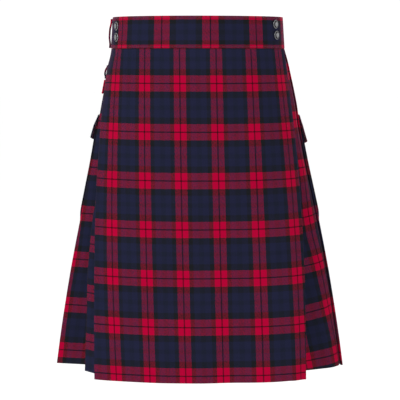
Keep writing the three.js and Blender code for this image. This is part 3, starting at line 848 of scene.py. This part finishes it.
class KiltSett(PropertyGroup):
    """The tartan's repeat and yarns."""

    repeat_across: FloatProperty(
        name="Repeat across", description="Width of one repeat of the sett", default=0.0622, unit="LENGTH"
    )
    repeat_down: FloatProperty(
        name="Repeat down", description="Height of one repeat of the sett", default=0.0812, unit="LENGTH"
    )
    rib_pitch: FloatProperty(
        name="Twill pitch",
        description="Distance between the twill's ribs, across the cloth",
        default=0.0022,
        unit="LENGTH",
        precision=5,
    )
    warp_share: FloatProperty(
        name="Warp share",
        description="Part of the surface that the warp covers",
        default=0.478,
        min=0.0,
        max=1.0,
    )
    red_sinks: FloatProperty(
        name="Red sinks",
        description="How much less of the surface red yarn covers where it crosses a dark one",
        default=0.228,
        min=0.0,
        max=0.5,
    )
    red_colour: FloatVectorProperty(
        name="Red", description="Red yarn", default=colour("#910229"), size=3, subtype="COLOR"
    )
    navy_colour: FloatVectorProperty(
        name="Navy", description="Navy yarn", default=colour("#191B2F"), size=3, subtype="COLOR"
    )
    deep_navy_colour: FloatVectorProperty(
        name="Deep navy",
        description="The darker yarn in the middle of the navy",
        default=colour("#161927"),
        size=3,
        subtype="COLOR",
    )
    black_colour: FloatVectorProperty(
        name="Black",
        description="Black-green yarn beside the navy",
        default=colour("#151619"),
        size=3,
        subtype="COLOR",
    )
    line_colour: FloatVectorProperty(
        name="Line",
        description="Black guard line in the red",
        default=colour("#23070F"),
        size=3,
        subtype="COLOR",
    )


class KiltCloth(PropertyGroup):
    """Thicknesses and fineness of the cloth."""

    cloth: FloatProperty(
        name="Cloth", description="Thickness of the kilt cloth", default=0.0012, unit="LENGTH", precision=5
    )
    band: FloatProperty(
        name="Waistband",
        description="Thickness of the doubled waistband",
        default=0.003,
        unit="LENGTH",
        precision=5,
    )
    pocket: FloatProperty(
        name="Pocket", description="Thickness of a pocket's wall", default=0.003, unit="LENGTH", precision=5
    )
    flap: FloatProperty(
        name="Flap", description="Thickness of a pocket's flap", default=0.002, unit="LENGTH", precision=5
    )
    loop: FloatProperty(
        name="Loop", description="Thickness of a belt loop", default=0.0025, unit="LENGTH", precision=5
    )
    tab: FloatProperty(
        name="Tab", description="Thickness of the hip tab", default=0.0026, unit="LENGTH", precision=5
    )
    rows: IntProperty(
        name="Rows",
        description="Rows of the skirt's grids from the waist to the hem",
        default=72,
        min=8,
        max=160,
    )
    fold_steps: IntProperty(
        name="Fold steps", description="Steps between two points of a fold's path", default=5, min=2, max=8
    )


class KiltTrim(PropertyGroup):
    """Thread and metal."""

    stitch: FloatProperty(
        name="Stitch", description="Length of a topstitch", default=0.0026, unit="LENGTH", precision=5
    )
    stitch_gap: FloatProperty(
        name="Stitch gap",
        description="Space between two topstitches",
        default=0.0008,
        unit="LENGTH",
        precision=5,
    )
    thread: FloatProperty(
        name="Thread",
        description="Thickness of the topstitch thread",
        default=0.00045,
        unit="LENGTH",
        precision=5,
    )
    thread_colour: FloatVectorProperty(
        name="Thread colour",
        description="Colour of the topstitch thread",
        default=colour("#1C1A2A"),
        size=3,
        subtype="COLOR",
    )
    metal_colour: FloatVectorProperty(
        name="Metal colour",
        description="Colour of the snap caps where they are worn",
        default=colour("#88898B"),
        size=3,
        subtype="COLOR",
    )
    # painted shade: a dark copy of the cap metal, laid in the caps' groove
    groove_shade_colour: FloatVectorProperty(
        name="Groove shade",
        description="Painted shade in the snap caps' groove",
        default=colour("#241F24"),
        size=3,
        subtype="COLOR",
    )


class KiltStage(PropertyGroup):
    """Floor, light and camera."""

    floor_drop: FloatProperty(
        name="Floor drop", description="How far the floor lies under the hem", default=0.5, unit="LENGTH"
    )
    floor_colour: FloatVectorProperty(
        name="Floor colour",
        description="Colour of the floor",
        default=colour("#F9F9F9"),
        size=3,
        subtype="COLOR",
    )
    key_power: FloatProperty(
        name="Key light", description="Power of the light at the front left", default=66.0, min=0.0
    )
    fill_power: FloatProperty(
        name="Fill light", description="Power of the light at the right side", default=12.0, min=0.0
    )
    sky: FloatProperty(name="Sky", description="Strength of the light from all round", default=1.07, min=0.0)
    lens: FloatProperty(
        name="Lens", description="Focal length of the camera, in millimetres", default=128.57, min=10.0
    )
    camera_distance: FloatProperty(
        name="Camera distance",
        description="From the camera to the middle of the waist",
        default=2.5,
        unit="LENGTH",
    )
    camera_pitch: FloatProperty(
        name="Camera pitch",
        description="How far the camera looks down",
        default=math.radians(5.74),
        unit="ROTATION",
    )


# ---- the pieces ----


class KILT_OT_stage(Operator):
    """Makes the pale floor, the soft lights and the camera"""

    bl_idname = "kilt.stage"
    bl_label = "Stage"

    def execute(self, context):
        stage = context.scene.kilt_stage
        bm = bmesh.new()
        bmesh.ops.create_circle(bm, cap_ends=True, segments=96, radius=FLOOR_RADIUS,
                                matrix=Matrix.Translation((0, 0, HEM_Z * MM - stage.floor_drop)))
        floor = finish_mesh("floor", bm, seamless_paper("matt seamless paper", tuple(stage.floor_colour)))
        for row in LIGHTS:
            lamp = bpy.data.lights.new(row["name"], "AREA")
            lamp.energy = getattr(stage, row["power"])
            lamp.size = row["size"]
            light = bpy.data.objects.new(row["name"], lamp)
            light.location = row["place"]
            way = Vector(LIGHTS_AIM) - Vector(row["place"])
            light.rotation_euler = way.to_track_quat("-Z", "Y").to_euler()
            context.scene.collection.objects.link(light)
        sky = bpy.data.worlds.new("studio")
        sky.use_nodes = True
        sky.node_tree.nodes.clear()
        back = add_node(
            sky.node_tree, "ShaderNodeBackground", {"Color": (1.0, 1.0, 1.0, 1.0), "Strength": stage.sky}
        )
        add_node(sky.node_tree, "ShaderNodeOutputWorld", links={"Surface": back})
        context.scene.world = sky
        context.scene.view_settings.view_transform = "Standard"
        lens = bpy.data.cameras.new("camera")
        lens.lens = stage.lens
        lens.sensor_width = 36.0
        lens.clip_end = 200.0
        camera = bpy.data.objects.new("camera", lens)
        camera.location = (CAMERA_PLACE["x"], -stage.camera_distance, CAMERA_PLACE["z"])
        camera.rotation_euler = (math.pi / 2 - stage.camera_pitch, 0, 0)
        context.scene.collection.objects.link(camera)
        context.scene.camera = camera
        return {"FINISHED"}


class KILT_OT_front_apron(Operator):
    """Makes the front apron, the flat outermost layer"""

    bl_idname = "kilt.front_apron"
    bl_label = "Front apron"

    def execute(self, context):
        cloth = context.scene.kilt_cloth
        sett = context.scene.kilt_sett
        rows, uvs = [], []
        for z in skirt_heights(cloth.rows):
            t, size = drop(z), hoop_sizes(z)
            left = front_angle(z, -self.edge(t, APRON_LEFT), APRON_INSET)
            right = front_angle(z, self.edge(t, APRON_RIGHT), APRON_INSET)
            path = []
            for u in evenly(0, 1, APRON_COLUMNS):
                curl = APRON_CURL * t * ease(u, APRON_CURL_START, 1)
                wave = -APRON_WAVE * t * math.sin(math.pi * u) * math.cos(2 * math.pi * APRON_WAVES * u)
                x, y = oval_point(size, lerp(left, right, u), APRON_INSET)
                path.append((x, y + curl + wave))
            lengths = lengths_along(path)
            middle = next(i for i, (x, _) in enumerate(path) if x > 0)
            centre = lengths[middle] - path[middle][0]
            rows.append(hang(path, z))
            uvs.append(
                [(self.pattern(along - centre, t) * sett.repeat_across, self.down(z)) for along in lengths]
            )
        piece = lay_cloth("apron", rows, uvs, cloth.cloth, CLOTH_RIM)
        hand_over(piece, "front_apron")
        return {"FINISHED"}

    @staticmethod
    def edge(t, side):
        """How far the apron reaches to this side of the middle, at this drop."""
        return side["waist"] + side["spread"] * (1 - (1 - t) ** side["easing"]) + side["drift"] * t

    @staticmethod
    def pattern(arc, t):
        """How many repeats of the sett lie between here and the middle of the apron."""
        tenths = arc / 100
        return sum((a + b * t + c * t * t) * tenths**power for power, (a, b, c) in enumerate(APRON_PATTERN))

    @staticmethod
    def down(z):
        """How far down the apron's cloth this height lies, from the middle of a red band, in metres."""
        return (WAIST_Z - z - FIRST_BAND["apron"] - APRON_BAND_EASE * (1 - drop(z)) ** 2) * MM


class KILT_OT_under_apron(Operator):
    """Makes the under-apron, with the fold that shows beside the front apron"""

    bl_idname = "kilt.under_apron"
    bl_label = "Under-apron"

    def execute(self, context):
        cloth = context.scene.kilt_cloth
        rows, uvs = [], []
        for z in skirt_heights(cloth.rows):
            amount = flare(drop(z))
            inset = lerp(UNDER_APRON_INSET["waist"], UNDER_APRON_INSET["hem"], amount)
            size = hoop_sizes(z)
            fold = ruled_path(z, UNDER_APRON_FOLD, 0)
            edge = lerp(UNDER_APRON_EDGE["waist"], UNDER_APRON_EDGE["hem"], amount)
            start = front_angle(z, edge, inset)
            end = front_angle(z, fold[0][0] - size["shift"] + UNDER_APRON_LEAD, inset)
            front = [
                oval_point(size, angle, inset) for angle in evenly(start, end, UNDER_APRON_FRONT_COLUMNS)
            ]
            fold_at = (len(front) + UNDER_APRON_FOLD_AT) * cloth.fold_steps
            path = rounded(front + fold, cloth.fold_steps)
            lengths = lengths_along(path)
            down = (WAIST_Z - z) * UNDER_APRON_STRETCH - FIRST_BAND["under_apron"]
            rows.append(hang(path, z))
            middle = lengths[fold_at] - UNDER_APRON_PATTERN
            uvs.append([((along - middle) * MM, down * MM) for along in lengths])
        piece = lay_cloth("under_apron_cloth", rows, uvs, cloth.cloth, CLOTH_RIM)
        hand_over(piece, "under_apron")
        return {"FINISHED"}


class KILT_OT_pleats(Operator):
    """Makes the knife pleats round the sides and the back"""

    bl_idname = "kilt.pleats"
    bl_label = "Pleats"

    def execute(self, context):
        cloth = context.scene.kilt_cloth
        for run in PLEAT_RUNS:
            rows, uvs = [], []
            for z in [SKIRT_TOP_Z + SEAM_ALLOWANCE] + skirt_heights(cloth.rows):
                path, folds = run_path(z, run)
                path = rounded(path, cloth.fold_steps)
                lengths = lengths_along(path)
                places = pattern_from_folds(lengths, [fold * cloth.fold_steps for fold in folds])
                rows.append(hang(path, z) if z <= SKIRT_TOP_Z else self.tucked(hang(path, z)))
                if run["node"] == "pleats_right":
                    shift = RED_AT_RIGHT_FOLD["shift"] * (1 - ease(drop(z), *RED_AT_RIGHT_FOLD["fades"]))
                    uvs.append([panel_pattern(z, place + shift) for place in places])
                else:
                    first = look_up(PLEAT_PATTERN, drop(z), "place")
                    uvs.append([((place + first) * MM, pleats_down(z)) for place in places])
            piece = lay_cloth(run["node"] + "_cloth", rows, uvs, cloth.cloth, CLOTH_RIM)
            hand_over(piece, run["node"])
        return {"FINISHED"}

    @staticmethod
    def tucked(row):
        """The top edge, taken in between the layers of the band."""
        shares = [1 - TUCKED_IN * MM / point.xy.length for point in row]
        return [Vector((point.x * share, point.y * share, point.z)) for point, share in zip(row, shares)]


class KILT_OT_side_panel(Operator):
    """Makes the panel at the right side that folds in under the apron"""

    bl_idname = "kilt.side_panel"
    bl_label = "Side panel"

    def execute(self, context):
        cloth = context.scene.kilt_cloth
        start = half_hoop(WAIST_Z)
        rows, uvs = [], []
        for z in skirt_heights(cloth.rows):
            under_last_fold = pleat_face(z, PLEATS_ROUND_BACK + 1)[:3]
            side = (len(under_last_fold) - 1) * cloth.fold_steps
            path = rounded(under_last_fold + ruled_path(z, RIGHT_PANEL, start), cloth.fold_steps)
            lengths = lengths_along(path)
            rows.append(hang(path, z))
            uvs.append([panel_pattern(z, along - lengths[side]) for along in lengths])
        piece = lay_cloth("side_panel_cloth", rows, uvs, cloth.cloth, CLOTH_RIM)
        hand_over(piece, "side_panel_right")
        return {"FINISHED"}


class KILT_OT_waistband(Operator):
    """Makes the three parts of the waistband, cut crosswise from the same cloth"""

    bl_idname = "kilt.waistband"
    bl_label = "Waistband"

    search_steps = 400  # for the free edge of the under-apron

    def execute(self, context):
        thickness = context.scene.kilt_cloth.band
        half = half_hoop(WAIST_Z)
        whole = arc_table(WAIST_Z)[1][-1]
        free_edge = min(evenly(half, whole, self.search_steps), key=self.off_free_edge)
        for name, node, inset, start, end in (
            ("front_band", "waistband_front", FRONT_BAND_INSET, half - BAND_OVERLAP, whole + BAND_OVERLAP),
            ("back_band", "waistband_back", BACK_BAND_INSET, -BAND_OVERLAP * 2, half + BAND_OVERLAP * 2),
            (
                "under_band",
                "waistband_under",
                UNDER_BAND_INSET,
                free_edge,
                whole - BAND_OVERLAP * 2 - BANDS_APART,
            ),
        ):
            rows, uvs = [], []
            middle = half * BAND_PATTERN["middle"] + BAND_PATTERN["place"]
            for z in evenly(-WAIST_Z, WAIST_Z, BAND_GRID["rows"]):
                stretch = half_hoop(z) / half
                arcs = evenly(start, end, BAND_GRID["columns"])
                path = [hoop_point(z, arc * stretch, inset) for arc in arcs]
                rows.append([Vector((*settled(x, y, z), z)) * MM for x, y in path])
                uvs.append([((BAND_PATTERN["level"] - z) * MM, (middle - arc) * MM) for arc in arcs])
            piece = lay_cloth(name, rows, uvs, thickness, BAND_RIM, rim_segments=3)
            hand_over(piece, node)
        return {"FINISHED"}

    @staticmethod
    def off_free_edge(arc):
        """How far the front of the hoop at this arc lies sideways from that edge."""
        return abs(hoop_point(WAIST_Z, arc, 0)[0] - UNDER_APRON_EDGE["waist"])


def strip_frame(z, part, inset, half_height):
    """Where a strip stands on the hoop: its point, the ways outwards and along, and how far it leans out."""

    def at(height, step):
        return hoop_point(height, part * half_hoop(height) + step, inset)

    ahead, behind = at(z, 1), at(z, -1)
    size = math.dist(ahead, behind)
    along = ((ahead[0] - behind[0]) / size, (ahead[1] - behind[1]) / size)
    outward = (-along[1], along[0])
    high, low = at(z + half_height, 0), at(z - half_height, 0)
    lean = ((high[0] - low[0]) * outward[0] + (high[1] - low[1]) * outward[1]) / (2 * half_height)
    return settled(*at(z, 0), z), outward, along, lean


def bent_strip(name, node, path, thickness, width, z, place, pattern):
    """A strip of cloth bent along a path of distances out and heights."""
    (x, y), outward, along, lean = place
    line = rounded(path, STRIP_STEPS)
    lengths = lengths_along(line)
    rows, uvs = [], []
    for (out, height), down in zip(line, lengths):
        away = out + lean * height
        row, uv = [], []
        for side in evenly(-0.5, 0.5, STRIP_COLUMNS):
            row.append(Vector((
                (x + outward[0] * away + along[0] * side * width) * MM,
                (y + outward[1] * away + along[1] * side * width) * MM,
                (z + height) * MM,
            )))
            uv.append(((side * width + pattern) * MM, down * MM))
        rows.append(row)
        uvs.append(uv)
    piece = lay_cloth(name, rows, uvs, thickness, CLOTH_RIM)
    hand_over(piece, node)
    return piece


class KILT_OT_belt_loops(Operator):
    """Makes the four belt loops"""

    bl_idname = "kilt.belt_loops"
    bl_label = "Belt loops"

    def execute(self, context):
        cloth = context.scene.kilt_cloth
        loop = cloth.loop / MM
        out, seated = LOOP_GAP + loop / 2, 2 * SEAM_GAP + loop / 2
        path = [(lerp(seated, out, row["away"]), row["height"]) for row in BELT_LOOP_PATH]
        for i, part in enumerate(BELT_LOOP_ARCS):
            on_front = part * half_hoop(WAIST_Z) < BAND_OVERLAP
            inset = (FRONT_BAND_INSET if on_front else BACK_BAND_INSET) - cloth.band / MM / 2
            place = strip_frame(0, part, inset, BAND_HEIGHT / 2)
            bent_strip(f"loop_{i + 1}", f"belt_loop_{i + 1}", path, cloth.loop, LOOP_WIDTH,
                       0, place, BELT_LOOP_PATTERN)
        return {"FINISHED"}


class KILT_OT_hip_trim(Operator):
    """Makes the small loop and the tab at the left hip"""

    bl_idname = "kilt.hip_trim"
    bl_label = "Hip loop and tab"

    def execute(self, context):
        cloth = context.scene.kilt_cloth
        middle = (HIP_LOOP["top"] + HIP_LOOP["bottom"]) / 2
        half = (HIP_LOOP["top"] - HIP_LOOP["bottom"]) / 2
        seated = cloth.cloth / MM / 2 + SEAM_GAP + cloth.loop / MM / 2
        out = seated + HIP_LOOP["gap"]
        path = [
            (seated, half), (seated, half - HIP_LOOP["sewn"]), (out, half - HIP_LOOP["clear"]),
            (out, HIP_LOOP["clear"] - half), (seated, HIP_LOOP["sewn"] - half), (seated, -half),
        ]
        place = strip_frame(middle, HIP_LOOP["part"], 0, half)
        bent_strip("side_loop", "hip_loop", path, cloth.loop, HIP_LOOP["width"],
                   middle, place, HIP_LOOP["pattern"])
        rows, uvs = [], []
        for z in evenly(HIP_TAB["top"], HIP_TAB["bottom"], TAB_GRID["rows"]):
            arcs = evenly(HIP_TAB["front"], HIP_TAB["back"], TAB_GRID["columns"])
            path = [settled(*hoop_point(z, arc, HIP_TAB["inset"]), z) for arc in arcs]
            down = HIP_TAB["top"] - z - HIP_TAB["level"]
            rows.append([Vector((x, y, z)) * MM for x, y in path])
            uvs.append([((arc + HIP_TAB["pattern"]) * MM, down * MM) for arc in arcs])
        piece = lay_cloth("side_tab", rows, uvs, cloth.tab, TAB_RIM)
        hand_over(piece, "hip_tab")
        return {"FINISHED"}


def side_arc(z, side, arc):
    """On the right the same lengths run back from the right side."""
    return arc if side == "left" else half_hoop(z) - arc


def flap_point(side, u, v):
    """A place on a pocket's flap: u from its front edge to its back one, v from its seam to its lower
    edge. It comes with its distance along the hoop."""
    shape = FLAP_SHAPES[side]
    point = 1 - abs(2 * u - 1)
    z = lerp(FLAP["top"], lerp(shape["side"], shape["tip"], point), v)
    bend = clamp((FLAP["top"] - z) / (FLAP["top"] - POCKET["top"]))
    away = clamp((POCKET["top"] - z) / (POCKET["top"] - shape["tip"]))
    out_to_bend = lerp(FLAP["top_inset"], shape["bend_inset"], bend)
    inset = out_to_bend + (shape["tip_inset"] - shape["bend_inset"]) * away
    arc = lerp(POCKET["front"] - FLAP["overhang"], POCKET["back"] + FLAP["overhang"], u)
    return (*hoop_point(z, side_arc(z, side, arc), inset), z), arc


class KILT_OT_pockets(Operator):
    """Makes the two patch pockets behind the hips and their pointed flaps"""

    bl_idname = "kilt.pockets"
    bl_label = "Pockets"

    def execute(self, context):
        cloth = context.scene.kilt_cloth
        for side in ("left", "right"):
            rows, uvs = [], []
            for z in evenly(POCKET["top"], POCKET["bottom"], POCKET_GRID["rows"]):
                corner = (-POCKET["bottom"] - POCKET["corner_height"], -POCKET["bottom"])
                cut = POCKET["corner_cut"] * ease(-z, *corner)
                arcs = evenly(POCKET["front"] + cut, POCKET["back"] - cut, POCKET_GRID["columns"])
                path = [hoop_point(z, side_arc(z, side, arc), POCKET["inset"]) for arc in arcs]
                rows.append(hang(path, z))
                uvs.append([((arc + POCKET["pattern"]) * MM, pleats_down(z)) for arc in arcs])
            piece = lay_cloth(f"patch_pocket_{side}", rows, uvs, cloth.pocket, POCKET_RIM, rim_segments=3)
            hand_over(piece, f"pocket_{side}")
            rows, uvs = [], []
            for v in evenly(0, 1, FLAP_GRID["rows"]):
                row, uv = [], []
                for u in evenly(0, 1, FLAP_GRID["columns"]):
                    (x, y, z), arc = flap_point(side, u, v)
                    row += hang([(x, y)], z)
                    uv.append(((arc + FLAP_SHAPES[side]["pattern"]) * MM, (FLAP["level"] - z) * MM))
                rows.append(row)
                uvs.append(uv)
            piece = lay_cloth(f"pointed_flap_{side}", rows, uvs, cloth.flap, FLAP_RIM)
            hand_over(piece, f"pocket_flap_{side}")
        return {"FINISHED"}


class KILT_OT_snaps(Operator):
    """Makes the four pressed snap caps"""

    bl_idname = "kilt.snaps"
    bl_label = "Snaps"

    # radius and height, from the middle of the back, round the rolled rim, over the ring and in to the dome
    profile = (
        (0.0, 0.0), (6.6, 0.0), (7.1, 0.1), (7.36, 0.4), (7.4, 0.75), (7.2, 1.1), (6.85, 1.28), (6.5, 1.3),
        (6.15, 1.18), (5.8, 1.05), (5.5, 1.1), (5.2, 1.4), (4.8, 1.85), (4.2, 2.25), (3.6, 2.45), (3.0, 2.45),
        (2.5, 2.3), (2.1, 2.2), (1.7, 2.3), (1.3, 2.6), (0.8, 2.85), (0.0, 2.98),
    )
    groove = (4.9, 6.45)  # how far from the middle of the cap its groove, painted dark as shade, begins and ends
    steps = 40  # round the cap

    def execute(self, context):
        trim = context.scene.kilt_trim
        metal = pressed_nickel("worn black nickel on pressed brass", tuple(trim.metal_colour))
        # the same metal again, made dark as painted shade in the caps' groove
        groove = pressed_nickel("black nickel in the cap's groove", tuple(trim.groove_shade_colour))
        inset = FRONT_BAND_INSET - context.scene.kilt_cloth.band / MM / 2 - SNAP_GAP
        for snap in SNAP_PLACES:
            size = hoop_sizes(snap["z"])
            angle = front_angle(snap["z"], snap["x"], inset)
            x, y = settled(*oval_point(size, angle, inset), snap["z"])
            turn = math.atan2(size["half_width"] * math.sin(angle), size["front_depth"] * math.cos(angle))
            bm = bmesh.new()
            points = [bm.verts.new((height * MM, 0, radius * MM)) for radius, height in self.profile]
            edges = [bm.edges.new(pair) for pair in zip(points, points[1:])]
            bmesh.ops.spin(bm, geom=points + edges, axis=(1, 0, 0), cent=(0, 0, 0), angle=math.tau,
                           steps=self.steps, use_merge=True)
            bmesh.ops.remove_doubles(bm, verts=bm.verts, dist=1e-6)
            bmesh.ops.recalc_face_normals(bm, faces=bm.faces)
            middle = Vector((x, y, snap["z"])) * MM
            bmesh.ops.transform(
                bm, verts=bm.verts, matrix=Matrix.Translation(middle) @ Matrix.Rotation(turn, 4, "Z")
            )
            for face in bm.faces:
                face.smooth = True
                out = (face.calc_center_median() - middle).length / MM
                # faces in the groove take the painted shade
                face.material_index = 1 if self.groove[0] < out < self.groove[1] else 0
            piece = finish_mesh(snap["node"].replace("snap", "cap"), bm, metal)
            piece.data.materials.append(groove)
            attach(piece, "root")
            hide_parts(snap["node"])
        return {"FINISHED"}


class KILT_OT_stitching(Operator):
    """Sews the topstitches of the waistband, the pockets and their flaps"""

    bl_idname = "kilt.stitching"
    bl_label = "Topstitching"

    def execute(self, context):
        cloth = context.scene.kilt_cloth
        band_face = cloth.band / MM / 2
        half, whole = half_hoop(WAIST_Z), arc_table(WAIST_Z)[1][-1]
        seams = []
        for inset, start, end, short in (
            (FRONT_BAND_INSET, half - BAND_OVERLAP, whole + BAND_OVERLAP, BAND_STITCH["front_ends"]),
            (BACK_BAND_INSET, BAND_OVERLAP, half - BAND_OVERLAP, BAND_STITCH["back_ends"]),
        ):
            arcs = evenly(start + short, end - short, BAND_STITCH["steps"])
            for z in (-WAIST_Z - BAND_STITCH["inside"], WAIST_Z + BAND_STITCH["inside"]):
                stretch = half_hoop(z) / half
                points = [hoop_point(z, arc * stretch, inset - band_face) for arc in arcs]
                seams.append([(*settled(x, y, z), z) for x, y in points])
        self.sew(context, "band_topstitch", seams, "waistband")
        face = POCKET["inset"] - cloth.pocket / MM / 2
        outline = self.pocket_outline()
        for side in ("left", "right"):
            seams = [[(*hoop_point(z, side_arc(z, side, arc), face), z) for arc, z in outline]]
            for row in FLAP_STITCHES:
                seam = []
                for u in evenly(row["sides"], 1 - row["sides"], row["steps"]):
                    (x, y, z), arc = flap_point(side, u, row["down"])
                    seam.append(self.lifted(side, z, arc, x, y, cloth.flap / MM / 2))
                seams.append(seam)
            self.sew(context, f"pocket_topstitch_{side}", seams, "tartan", draped=True)
        return {"FINISHED"}

    @staticmethod
    def pocket_outline():
        """Arcs and heights of the seam down a pocket's front edge, along its foot and up its back edge."""
        inside, height = POCKET_STITCH["inside"], POCKET["corner_height"]
        front, back, foot = POCKET["front"] + inside, POCKET["back"] - inside, POCKET["bottom"]
        above_corner = foot + height + POCKET_STITCH["above_corner"]
        side = [(front, z) for z in evenly(POCKET["top"] - inside, above_corner, POCKET_STITCH["side_steps"])]
        for part in evenly(0, 1, POCKET_STITCH["corner_steps"])[1:]:
            side.append((front + POCKET["corner_cut"] * part, foot + height - (height - inside) * part))
        ends = (front + POCKET["corner_cut"], back - POCKET["corner_cut"])
        along_foot = [(arc, foot + inside) for arc in evenly(*ends, POCKET_STITCH["foot_steps"])[1:-1]]
        other_side = [(POCKET["front"] + POCKET["back"] - arc, z) for arc, z in reversed(side)]
        return side + along_foot + other_side

    @staticmethod
    def lifted(side, z, arc, x, y, out):
        """A point moved outwards from the hoop by this much."""
        low, high = hoop_point(z, side_arc(z, side, arc), 0), hoop_point(z, side_arc(z, side, arc), -1)
        return (x + (high[0] - low[0]) * out, y + (high[1] - low[1]) * out, z)

    @staticmethod
    def sew(context, name, seams, slot, draped=False):
        trim = context.scene.kilt_trim
        step = (trim.stitch + trim.stitch_gap) / MM
        bm = bmesh.new()
        for seam in seams:
            points = [Vector(p) for p in seam]
            if draped:
                points = [hang([(p.x, p.y)], p.z)[0] / MM for p in points]
            lengths = [0.0]
            for a, b in zip(points, points[1:]):
                lengths.append(lengths[-1] + (b - a).length)
            i = 0
            for n in range(int(lengths[-1] / step)):
                at = (n + 0.5) * step
                while lengths[i + 1] < at:
                    i += 1
                way = (points[i + 1] - points[i]).normalized()
                middle = points[i] + way * (at - lengths[i])
                turn = way.to_track_quat("Z", "X").to_matrix().to_4x4()
                made = bmesh.ops.create_cone(bm, cap_ends=True, segments=5, radius1=trim.thread / 2,
                                             radius2=trim.thread / 2, depth=trim.stitch,
                                             matrix=Matrix.Translation(middle * MM) @ turn)
                for vert in made["verts"]:
                    for face in vert.link_faces:
                        face.smooth = True
        piece = finish_mesh(name, bm, thread_material())
        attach(piece, "root")


class KILT_PT_sizes(Panel):
    """Lists the kilt's settings and pieces"""

    bl_idname = "KILT_PT_sizes"
    bl_label = "Kilt"
    bl_space_type = "VIEW_3D"
    bl_region_type = "UI"
    bl_category = "Kilt"

    def draw(self, context):
        for group in GROUPS:
            settings = getattr(context.scene, group)
            box = self.layout.box()
            for key in settings.__annotations__:
                box.prop(settings, key)
        for operator in OPERATORS:
            self.layout.operator(operator.bl_idname)


GROUPS = {"kilt_sett": KiltSett, "kilt_cloth": KiltCloth, "kilt_trim": KiltTrim, "kilt_stage": KiltStage}
OPERATORS = (
    KILT_OT_stage,
    KILT_OT_front_apron,
    KILT_OT_under_apron,
    KILT_OT_pleats,
    KILT_OT_side_panel,
    KILT_OT_waistband,
    KILT_OT_belt_loops,
    KILT_OT_hip_trim,
    KILT_OT_pockets,
    KILT_OT_snaps,
    KILT_OT_stitching,
)


def register():
    for name, group in GROUPS.items():
        bpy.utils.register_class(group)
        setattr(bpy.types.Scene, name, PointerProperty(type=group))
    for operator in OPERATORS:
        bpy.utils.register_class(operator)
    bpy.utils.register_class(KILT_PT_sizes)


def unregister():
    bpy.utils.unregister_class(KILT_PT_sizes)
    for operator in reversed(OPERATORS):
        bpy.utils.unregister_class(operator)
    for name, group in GROUPS.items():
        delattr(bpy.types.Scene, name)
        bpy.utils.unregister_class(group)


def main():
    register()
    for operator in OPERATORS:
        group, action = operator.bl_idname.split(".")
        getattr(getattr(bpy.ops, group), action)()


if __name__ == "__main__":
    main()
